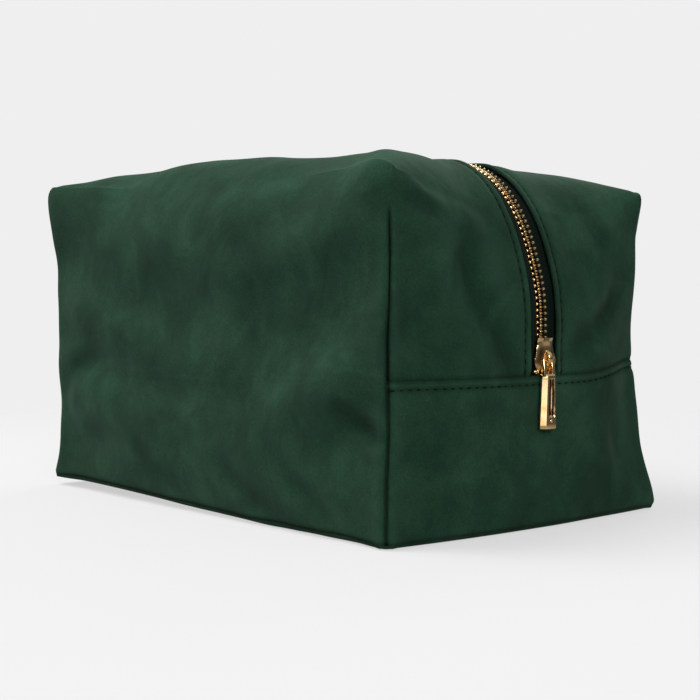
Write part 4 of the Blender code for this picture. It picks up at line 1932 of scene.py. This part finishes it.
@dataclass
class SliderSet:
    """The die-cast slider, its bridge and its half-round bar pull."""

    skin: float = 0.0009
    skirt: float = 0.0012
    crown: float = 0.0013
    rim: float = 0.0003
    lip: float = 0.0008
    inner_share: float = 0.3
    bar_radius: float = 0.00065
    bar_thickness: float = 0.0030
    shoulder: float = 0.0062
    eye_half: float = 0.00155
    arch_wide: float = 1.20
    inner_wide: float = 0.84
    bar_wide: float = 1.20
    bar_taper: float = 0.76
    groove: tuple[float, float] = (0.10, 0.75)
    dot_place: float = 0.845
    arm_overlap: float = 0.0012

    def half_width(self, share: float, widest: float) -> float:
        """Half width of a plate, from its foot at 0 to its head at 1.

        Args:
            share: The place from foot to head.
            widest: The slider's half width.

        Returns:
            The half width, in metres.
        """
        for (a, wide_a), (b, wide_b) in zip(PLATE_OUTLINE, PLATE_OUTLINE[1:]):
            if share <= b:
                return widest * (wide_a + (wide_b - wide_a) * smooth(share, a, b))
        return widest * PLATE_OUTLINE[-1][1]

    def plate(self, work: bmesh.types.BMesh, face: float, facing: int) -> None:
        """One crowned plate with skirts that turn in round the chain.

        Args:
            work: The slider's bmesh.
            face: x of the plate's flat face.
            facing: 1 for the outer plate, -1 for the inner one, which is flatter.
        """
        low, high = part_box("slider_body")
        widest, fullness = (high.y, 1.0) if facing > 0 else (high.y * self.inner_wide, self.inner_share)
        sheet = bmesh.new()
        recess_shade = sheet.verts.layers.float.new(PAINTED_RECESS_SHADE)
        bmesh.ops.create_grid(sheet, x_segments=14, y_segments=22, size=1.0)
        for vertex in sheet.verts:
            across, share = vertex.co.x, (vertex.co.y + 1) / 2
            half = self.half_width(share, widest)
            over = max(abs(across) - 0.78, 0.0) / 0.22
            flat = min(abs(across) / 0.78, 1.0)
            y = math.copysign(half * flat, across) if over < 0.01 else math.copysign(half, across)
            facet = 1 - max(flat - 0.30, 0.0) / 0.70
            rise = self.crown * facet * min(share / 0.16, (1 - share) / 0.22, 1.0)
            rise += self.rim * smooth(flat, 0.88, 1.0)
            rise += self.lip * smooth(share, 0.90, 1.0) * (0.5 + bell(abs(flat) - 0.62, 0.22))
            rise *= fullness
            drop = over * self.skirt * smooth(share, 0.05, 0.25) * (1 - 0.7 * bell(share - 0.38, 0.20))
            x = face + facing * (rise - drop * fullness)
            vertex.co = Vector((x, y, low.z + (high.z - low.z) * share))
            # Painted shade on the plate's sloping facets.
            vertex[recess_shade] = bell(flat - 0.62, 0.20) * bell(share - 0.55, 0.30)
        bmesh.ops.recalc_face_normals(sheet, faces=sheet.faces)
        if sum(f.normal.x * facing for f in sheet.faces) < 0:
            bmesh.ops.reverse_faces(sheet, faces=sheet.faces)
        bmesh.ops.solidify(sheet, geom=sheet.faces[:], thickness=self.skin)
        mesh = bpy.data.meshes.new("plate")
        sheet.to_mesh(mesh)
        sheet.free()
        work.from_mesh(mesh)
        bpy.data.meshes.remove(mesh)

    def body(self) -> bpy.types.Object:
        """Both plates and the wedge between them.

        Returns:
            The piece.
        """
        low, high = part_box("slider_body")
        work = bmesh.new()
        # The layer of painted recess shade, which each plate fills.
        work.verts.layers.float.new(PAINTED_RECESS_SHADE)
        self.plate(work, high.x, 1)
        self.plate(work, low.x, -1)
        wedge = bmesh.ops.create_cube(work, size=1.0)["verts"]
        tall = (high.z - low.z) * 0.46
        bmesh.ops.scale(work, vec=(high.x - low.x - 0.0012, 0.0024, tall), verts=wedge)
        for vertex in wedge:
            vertex.co.y *= 0.35 if vertex.co.z > 0 else 1.0
        bmesh.ops.translate(work, vec=((low.x + high.x) / 2, 0, low.z + 0.0006 + tall / 2), verts=wedge)
        for side in (-1, 1):
            knob = bmesh.ops.create_uvsphere(work, u_segments=14, v_segments=8, radius=0.0010)["verts"]
            bmesh.ops.scale(work, vec=(1.1, 1.0, 0.8), verts=knob)
            bmesh.ops.translate(work, vec=(high.x - 0.0010, side * high.y * 1.02, low.z + 0.0009),
                                verts=knob)
        piece = to_object(work, "zip_slider_body", GOLD)
        piece.data.set_sharp_from_angle(angle=math.radians(28))
        round_edges(piece, 0.00016, 40)
        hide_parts("slider_body")
        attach(piece, "slider")
        return piece

    def bridge(self) -> bpy.types.Object:
        """A rounded strip bent into an arch on the outer plate, holding the pull.

        Returns:
            The piece.
        """
        low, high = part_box("slider_bridge")
        middle = (low.z + high.z) / 2
        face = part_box("slider_body")[1].x
        outer = (high.z - low.z) / 2
        thick = 0.0009
        work = bmesh.new()
        bmesh.ops.create_circle(work, radius=0.5, segments=14, cap_ends=True)
        for vertex in work.verts:
            squarer = 1 / max(abs(vertex.co.x), abs(vertex.co.y)) ** 0.35 * 0.5 ** 0.35
            vertex.co *= squarer
        bmesh.ops.scale(work, vec=(thick, high.y - low.y, 1), verts=work.verts)
        bmesh.ops.rotate(work, cent=(0, 0, 0), matrix=Matrix.Rotation(math.pi / 2, 3, "Y"),
                         verts=work.verts)
        bmesh.ops.translate(work, vec=(face, 0, middle + outer - thick / 2), verts=work.verts)
        geom = work.verts[:] + work.edges[:] + work.faces[:]
        bmesh.ops.spin(work, geom=geom, cent=(face, 0, middle), axis=(0, 1, 0), dvec=(0, 0, 0),
                       angle=math.pi, steps=18, use_merge=False, use_duplicate=False)
        stretch = (high.x - face) / outer
        for vertex in work.verts:
            vertex.co.x = face + (vertex.co.x - face) * stretch
            vertex.co.y *= self.arch_wide
        bmesh.ops.recalc_face_normals(work, faces=work.faces)
        piece = to_object(work, "slider_arch", GOLD)
        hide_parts("slider_bridge")
        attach(piece, "slider")
        return piece

    def pull(self) -> bpy.types.Object:
        """The bar: a cross pin in the arch, two short arms and a grooved half-round grip.

        Returns:
            The piece.
        """
        work = bmesh.new()
        self.grip(work)
        self.eye(work)
        piece = to_object(work, "bar_pull", GOLD)
        round_edges(piece, 0.00014, 22)
        piece.data.set_sharp_from_angle(angle=math.radians(30))
        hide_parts("pull_tab")
        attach(piece, "pull")
        return piece

    @property
    def pivot(self) -> Vector:
        """The middle of the pull's cross pin."""
        joint = next(j for j in frame["joints"] if j["name"] == "pull_swing")
        return Vector(joint["pos_m"])

    def grip(self, work: bmesh.types.BMesh) -> None:
        """The half-round grip, wider at its foot, with its groove and the dot below that.

        Args:
            work: The pull's bmesh.
        """
        low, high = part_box("pull_tab")
        wide_low = high.y * self.bar_wide
        wide_high = wide_low * self.bar_taper
        top = self.pivot.z - self.shoulder
        back = self.pivot.x - self.bar_radius
        length = top - low.z
        count = len(BAR_SECTION)
        recess_shade = work.verts.layers.float.new(PAINTED_RECESS_SHADE)
        loops = stretch_ring(work, count, len(BAR_STATIONS))
        first = math.atan2(loops[0][0].co.y, loops[0][0].co.x)

        def rank(vertex: bmesh.types.BMVert) -> int:
            """The vertex's place in the order of BAR_SECTION, by its angle on the ring."""
            angle = math.atan2(vertex.co.y, vertex.co.x) - first
            return round(angle * count / (2 * math.pi)) % count

        for share, loop in zip(BAR_STATIONS, loops):
            shrink = 1 - 0.16 * bell(share, 0.010) - 0.14 * bell(share - 1, 0.010)
            half = (wide_high + (wide_low - wide_high) * share) * shrink
            thick = self.bar_thickness * (1 - 0.25 * bell(share, 0.012) - 0.22 * bell(share - 1, 0.010))
            groove = 1.0 if self.groove[0] < share < self.groove[1] else 0.0
            for vertex in loop:
                across, out, sunk = BAR_SECTION[rank(vertex)]
                # Painted shade in the grip's groove.
                vertex[recess_shade] = groove if sunk > 0.1 else 0.0
                vertex.co = Vector((back + thick * (out - sunk * groove), half * across,
                                    top - length * share))
        close_ends(work, loops)
        dot = bmesh.ops.create_uvsphere(work, u_segments=16, v_segments=10, radius=0.0008)["verts"]
        bmesh.ops.scale(work, vec=(0.6, 1, 1), verts=dot)
        bmesh.ops.translate(work, vec=(back + self.bar_thickness - 0.00005, 0,
                                       top - length * self.dot_place), verts=dot)

    def eye(self, work: bmesh.types.BMesh) -> None:
        """The two short arms from the grip to the arch, and the cross pin between them.

        Args:
            work: The pull's bmesh.
        """
        pivot = self.pivot
        top = pivot.z - self.shoulder
        wide_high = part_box("pull_tab")[1].y * self.bar_wide * self.bar_taper
        arm = wide_high * 0.98 - self.eye_half
        foot = top - self.arm_overlap
        tall = pivot.z - foot
        for side in (-1, 1):
            block = bmesh.ops.create_cube(work, size=1.0)["verts"]
            bmesh.ops.scale(work, vec=(self.bar_radius * 2, arm, tall), verts=block)
            bmesh.ops.translate(work, vec=(pivot.x, side * (self.eye_half + arm / 2),
                                           (pivot.z + foot) / 2), verts=block)
            for vertex in block:
                if vertex.co.z < pivot.z - tall / 2 and vertex.co.x > pivot.x:
                    vertex.co.x += 0.0009
            rim = list({e for v in block for e in v.link_edges})
            bmesh.ops.bevel(work, geom=rim, offset=0.00030, segments=3, profile=0.5,
                            affect="EDGES", material=-1)
        pin = bmesh.ops.create_cone(work, cap_ends=True, segments=20, radius1=self.bar_radius,
                                    radius2=self.bar_radius, depth=2 * (self.eye_half + arm))["verts"]
        bmesh.ops.rotate(work, cent=(0, 0, 0), matrix=Matrix.Rotation(math.pi / 2, 3, "X"), verts=pin)
        bmesh.ops.translate(work, vec=pivot, verts=pin)

    def build(self) -> list[bpy.types.Object]:
        """The slider, its arch and its pull."""
        return [self.body(), self.bridge(), self.pull()]


# ---------------------------------------------------------------------------
# Studio
# ---------------------------------------------------------------------------


@dataclass
class Studio:
    """Camera, floor, lights and backdrop."""

    camera_place: tuple[float, float, float] = (0.4840, -0.4323, 0.0937)
    heading_deg: float = 47.682
    pitch_deg: float = -2.247
    roll_deg: float = 0.382
    lens_mm: float = 71.54
    sensor_mm: float = 36.0

    def build(self) -> None:
        """Make the studio."""
        self.camera()
        self.floor()
        self.lights()
        self.backdrop()

    def camera(self) -> None:
        """A camera at the bag's mid height, off its near corner."""
        data = bpy.data.cameras.new("camera")
        data.lens = self.lens_mm
        data.sensor_width = self.sensor_mm
        camera = bpy.data.objects.new("camera", data)
        camera.location = self.camera_place
        turn = Matrix.Rotation(math.radians(self.heading_deg), 4, "Z") @ Matrix.Rotation(
            math.radians(90 + self.pitch_deg), 4, "X") @ Matrix.Rotation(
            math.radians(self.roll_deg), 4, "Z")
        camera.rotation_euler = turn.to_euler()
        bpy.context.scene.collection.objects.link(camera)
        bpy.context.scene.camera = camera

    def floor(self) -> None:
        """A round floor whose edge fades into the backdrop."""
        work = bmesh.new()
        bmesh.ops.create_circle(work, cap_ends=True, radius=0.7, segments=96)
        piece = to_object(work, "studio_floor", PaleFloor())

    def lights(self) -> None:
        """A large soft key from the upper left, a top light, fills for the near end and the back,
        and a small light beside the camera, whose reflection draws the metal's edges."""
        for name, place, size, power in (
            ("key_softbox", (-0.70, -0.75, 1.25), 0.9, 13.5),
            ("top_softbox", (-0.40, -0.45, 1.40), 0.9, 11.0),
            ("end_softbox", (1.20, -0.75, 0.55), 0.6, 12.5),
            ("back_softbox", (-0.50, 1.20, 0.90), 0.8, 7.0),
            ("eye_level_spark", (0.70, -0.86, 0.12), 0.34, 0.42),
        ):
            data = bpy.data.lights.new(name, "AREA")
            data.shape = "DISK"
            data.size = size
            data.energy = power
            light = bpy.data.objects.new(name, data)
            light.location = place
            aim = Vector((0, 0, 0.07)) - Vector(place)
            light.rotation_euler = aim.to_track_quat("-Z", "Y").to_euler()
            bpy.context.scene.collection.objects.link(light)

    def backdrop(self) -> None:
        """An even pale world where it is seen; as light, dim at eye level and brighter above."""
        world = bpy.data.worlds.new("studio_world")
        world.use_nodes = True
        tree = world.node_tree
        back = tree.nodes["Background"]
        back.inputs["Color"].default_value = linear("efefef")
        way = add_node(tree, "TexCoord").outputs["Generated"]
        parts = add_node(tree, "SeparateXYZ", links={0: way})
        glow = add_node(tree, "MapRange", {"interpolation_type": "SMOOTHSTEP", "From Min": -0.05,
                        "From Max": 0.75, "To Min": 0.10, "To Max": 0.55}, {"Value": parts.outputs["Z"]})
        seen = add_node(tree, "LightPath").outputs["Is Camera Ray"]
        strength = add_node(tree, "Mix", {"data_type": "FLOAT", "B": 1.0},
                            {"Factor": seen, "A": glow.outputs[0]})
        tree.links.new(strength.outputs["Result"], back.inputs["Strength"])
        bpy.context.scene.world = world
        bpy.context.scene.view_settings.view_transform = "Standard"


def main() -> None:
    """Build the bag piece by piece."""
    logging.basicConfig(level=logging.INFO, format="%(message)s")
    Studio().build()
    FORM.cloth = SlackCloth().settle()
    box = sharp_box(Shell.step, True)
    made = Shell().build(box)
    box.free()
    plain = sharp_box(InnerLayers.step, False)
    made += InnerLayers().build(plain)
    plain.free()
    path = ZipPath()
    made += ZipChain(path).build()
    made += Stitching(path).build()
    made += SliderSet().build()
    for piece in made:
        LOG.info("%s: %d faces", piece.name, len(piece.data.polygons))


if __name__ == "__main__":
    main()
